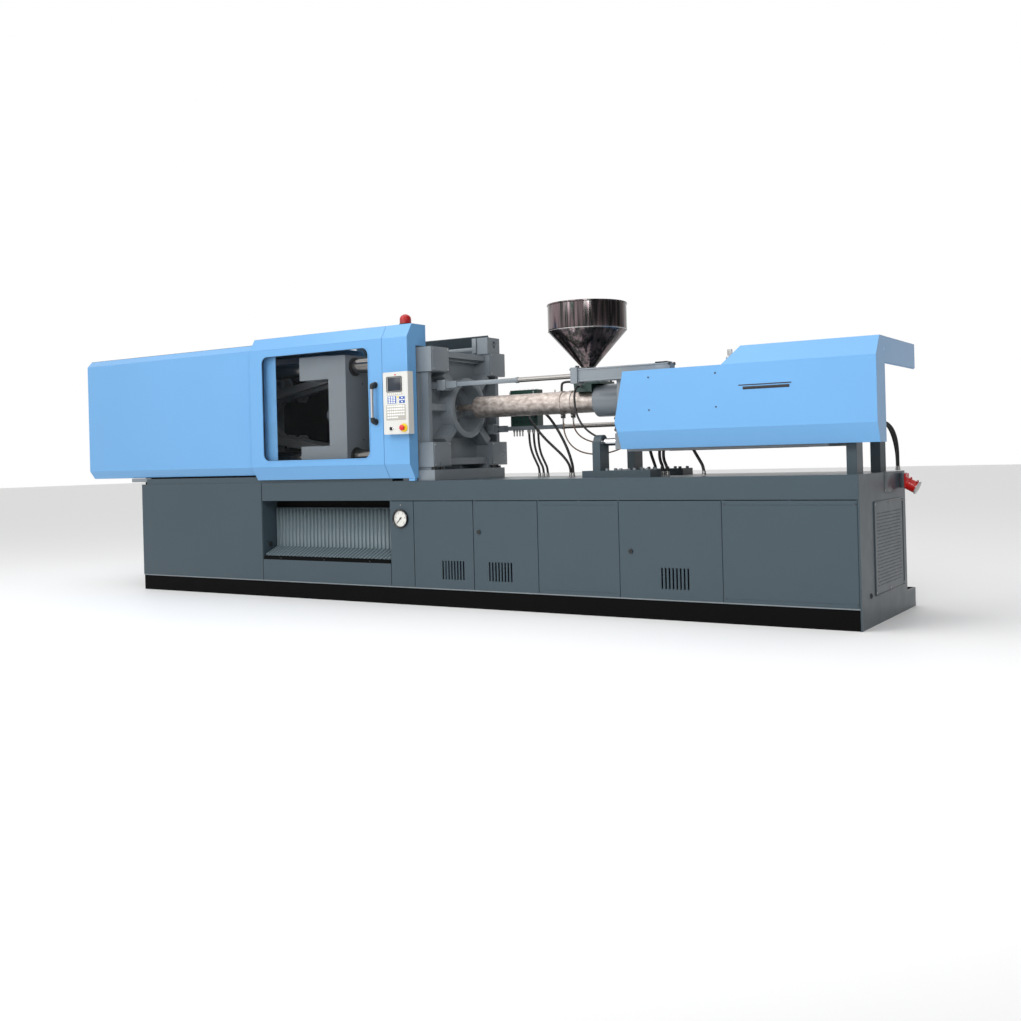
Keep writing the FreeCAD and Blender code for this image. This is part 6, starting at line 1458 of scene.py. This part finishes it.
@dataclass
class Hoses:
    """Hoses and cables that hang free between two fixed ends."""

    fixed: tuple[Run, ...] = (
        Run(17, ((310, 362, 1229), (310, 362, 1150), (330, 360, 1065), (372, 357, 985), (398, 355, 938),
                 (398, 355, 880))),
        Run(17, ((350, 362, 1229), (350, 362, 1148), (366, 364, 1062), (398, 368, 988), (424, 372, 940),
                 (424, 372, 880))),
        Run(17, ((390, 362, 1229), (390, 362, 1150), (402, 366, 1060), (430, 376, 990), (452, 384, 940),
                 (452, 384, 880))),
        Run(20, ((400, 300, 1420), (400, 222, 1420), (455, 168, 1400), (530, 150, 1376), (600, 146, 1330),
                 (660, 148, 1255), (715, 152, 1165), (760, 158, 1070), (786, 164, 980), (792, 168, 940),
                 (792, 168, 880))),
        Run(19, ((400, 300, 1340), (400, 220, 1340), (442, 168, 1298), (500, 160, 1232), (565, 162, 1160),
                 (635, 170, 1095), (700, 180, 1035), (745, 190, 975), (757, 196, 925), (757, 196, 880))),
    )
    barrel: tuple[Run, ...] = (
        Run(10, ((819, 0, 1292), (819, 0, 1240), (830, -6, 1186), (862, -18, 1130), (912, -30, 1084),
                 (978, -40, 1052), (1056, -46, 1036), (1140, -48, 1034), (1220, -48, 1046), (1290, -48, 1068),
                 (1338, -48, 1090), (1390, -48, 1090))),
        Run(10, ((900, 0, 1292), (900, 0, 1244), (912, 8, 1198), (944, 20, 1158), (994, 32, 1130),
                 (1056, 42, 1114), (1126, 48, 1108), (1200, 50, 1112), (1270, 50, 1122), (1332, 50, 1130),
                 (1390, 50, 1130))),
        Run(14, ((1030, -110, 1500), (1030, -164, 1500), (1030, -204, 1458), (1031, -210, 1385),
                 (1042, -208, 1312), (1070, -200, 1245), (1116, -188, 1190), (1180, -172, 1148),
                 (1250, -160, 1122), (1322, -158, 1112), (1390, -158, 1112))),
    )
    carriage: tuple[Run, ...] = (
        Run(20, ((1505, -60, 1165), (1505, -60, 1100), (1516, -60, 1030), (1540, -60, 965), (1552, -60, 926),
                 (1552, -60, 884))),
        Run(20, ((1612, -100, 1165), (1612, -100, 1105), (1598, -100, 1045), (1600, -100, 985),
                 (1624, -100, 932), (1624, -100, 884))),
        Run(20, ((1660, -140, 1165), (1660, -140, 1105), (1645, -140, 1045), (1646, -140, 985),
                 (1672, -140, 932), (1672, -140, 884))),
        Run(20, ((1850, -180, 1165), (1850, -180, 1110), (1872, -180, 1050), (1908, -180, 990),
                 (1942, -180, 934), (1942, -180, 884))),
        Run(17, ((2790, 240, 1180), (2852, 240, 1180), (2900, 285, 1192), (2930, 345, 1188),
                 (2950, 400, 1150), (2966, 428, 1084), (2978, 436, 1012), (2982, 438, 950), (2982, 438, 884))),
        Run(17, ((2790, 190, 1180), (2856, 190, 1180), (2912, 232, 1192), (2956, 292, 1188),
                 (2980, 350, 1150), (2992, 388, 1088), (2996, 404, 1016), (2996, 406, 955), (2996, 406, 884))),
    )

    def build(self) -> None:
        """Make every hose, its end fittings, and hide the plain tubes."""
        for node, runs, body, paint in (("fixed_hoses", self.fixed, "bed", Paint.RUBBER),
                                        ("barrel_leads", self.barrel, "carriage", Paint.RUBBER),
                                        ("carriage_hoses", self.carriage, "carriage", Paint.RUBBER)):
            for number, run in enumerate(runs, start=1):
                heater = node == "barrel_leads" and run.diameter < 12
                piece = self.cord(f"{node}_{number}", run, body, Paint.BRAID if heater else paint)
                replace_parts(piece, node)
            self.glands(f"{node}_glands", runs, body)

    def cord(self, name: str, run: Run, body: str, paint: Paint) -> bpy.types.Object:
        """One hose as a smooth curve."""
        points = [Vector(point) / 1000 for point in run.points]
        piece = pipe(name, points, run.diameter / 2000, body, paint)
        return piece

    def glands(self, name: str, runs: Sequence[Run], body: str) -> None:
        """Crimped ferrules at both ends of each hose."""
        shape = Shape()
        for run in runs:
            for end, beside in ((run.points[0], run.points[1]), (run.points[-1], run.points[-2])):
                start, way = Vector(end) / 1000, (Vector(beside) - Vector(end)).normalized()
                r = run.diameter / 2000
                shape.lathe(start, way, [(r * 1.5, 0), (r * 1.5, 0.008), (r * 1.25, 0.010), (r * 1.32, 0.013),
                                         (r * 1.22, 0.016), (r * 1.3, 0.019), (r * 1.2, 0.026), (r * 0.98, 0.027)], 20)
        shape.done(name, body, Paint.ZINC)


# ------------------------------------------------------------------ studio


@dataclass
class Studio:
    """Floor, lights and camera."""

    camera_at: Point = (4.8385, -6.9185, 1.019)
    heading: float = 32.85
    roll: float = 1.48
    lens: float = 40.29
    shift: float = -0.0508
    sky: float = 1.0
    sky_right: float = 0.16

    def build(self) -> None:
        """Make the studio."""
        self.camera()
        self.floor()
        self.lights()

    def camera(self) -> None:
        """Camera at the operator's eye, looking along the machine from its injection end."""
        data = bpy.data.cameras.new("camera")
        data.lens, data.sensor_width, data.shift_y = self.lens, 36.0, self.shift
        data.clip_end = 100
        eye = bpy.data.objects.new("camera", data)
        turn, tilt = math.radians(self.heading), math.radians(self.roll)
        right = Vector((math.cos(turn) * math.cos(tilt), math.sin(turn) * math.cos(tilt), -math.sin(tilt)))
        ahead = Vector((-math.sin(turn), math.cos(turn), 0))
        up = right.cross(ahead)
        eye.matrix_world = Matrix.Translation(self.camera_at) @ Matrix((right, up, -ahead)).transposed().to_4x4()
        bpy.context.scene.collection.objects.link(eye)
        bpy.context.scene.camera = eye

    def floor(self) -> None:
        """Pale floor."""
        mesh = bpy.data.meshes.new("floor")
        size = 60.0
        mesh.from_pydata([(-size, -size, 0), (size, -size, 0), (size, size, 0), (-size, size, 0)], [], [(0, 1, 2, 3)])
        floor = bpy.data.objects.new("floor", mesh)
        bpy.context.scene.collection.objects.link(floor)
        mesh.materials.append(Plastic("pale_floor", (0.88, 0.88, 0.88), 0.6, 0.02, dirt=0.0).make())

    def lights(self) -> None:
        """White surround, darker towards the injection end, with two large soft lamps."""
        world = bpy.data.worlds.new("studio")
        world.use_nodes = True
        tree = world.node_tree
        background = tree.nodes["Background"]
        background.inputs[0].default_value = (1, 1, 1, 1)
        where = tree.nodes.new("ShaderNodeTexCoord")
        part = tree.nodes.new("ShaderNodeSeparateXYZ")
        fade = tree.nodes.new("ShaderNodeMapRange")
        tree.links.new(where.outputs["Generated"], part.inputs[0])
        tree.links.new(part.outputs["X"], fade.inputs[0])
        for index, value in enumerate((-0.05, 0.75, self.sky, self.sky_right), start=1):
            fade.inputs[index].default_value = value
        tree.links.new(fade.outputs[0], background.inputs[1])
        bpy.context.scene.world = world
        bpy.context.scene.view_settings.view_transform = "Standard"
        for name, place, aim, power, size in (
                ("key_lamp", (-2.5, -7.0, 5.0), (0, 0, 1.0), 200, 5.0),
                ("right_lamp", (3.6, -4.6, 3.4), (0, 0, 1.4), 100, 1.6),
                ("top_lamp", (-1.0, -1.5, 7.0), (0, 0, 1), 150, 6.0)):
            data = bpy.data.lights.new(name, "AREA")
            data.energy, data.size = power, size
            lamp = bpy.data.objects.new(name, data)
            way = Vector(aim) - Vector(place)
            lamp.matrix_world = Matrix.Translation(place) @ way.to_track_quat("-Z", "Y").to_matrix().to_4x4()
            bpy.context.scene.collection.objects.link(lamp)


def main() -> None:
    """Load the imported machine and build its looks."""
    logging.basicConfig(level=logging.INFO, format="%(name)s %(message)s")
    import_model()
    for part in (Studio(), Hoses(), Bed(), Guarding(), Clamp(), Injection()):
        LOG.info("building %s", type(part).__name__)
        part.build()


if __name__ == "__main__":
    main()
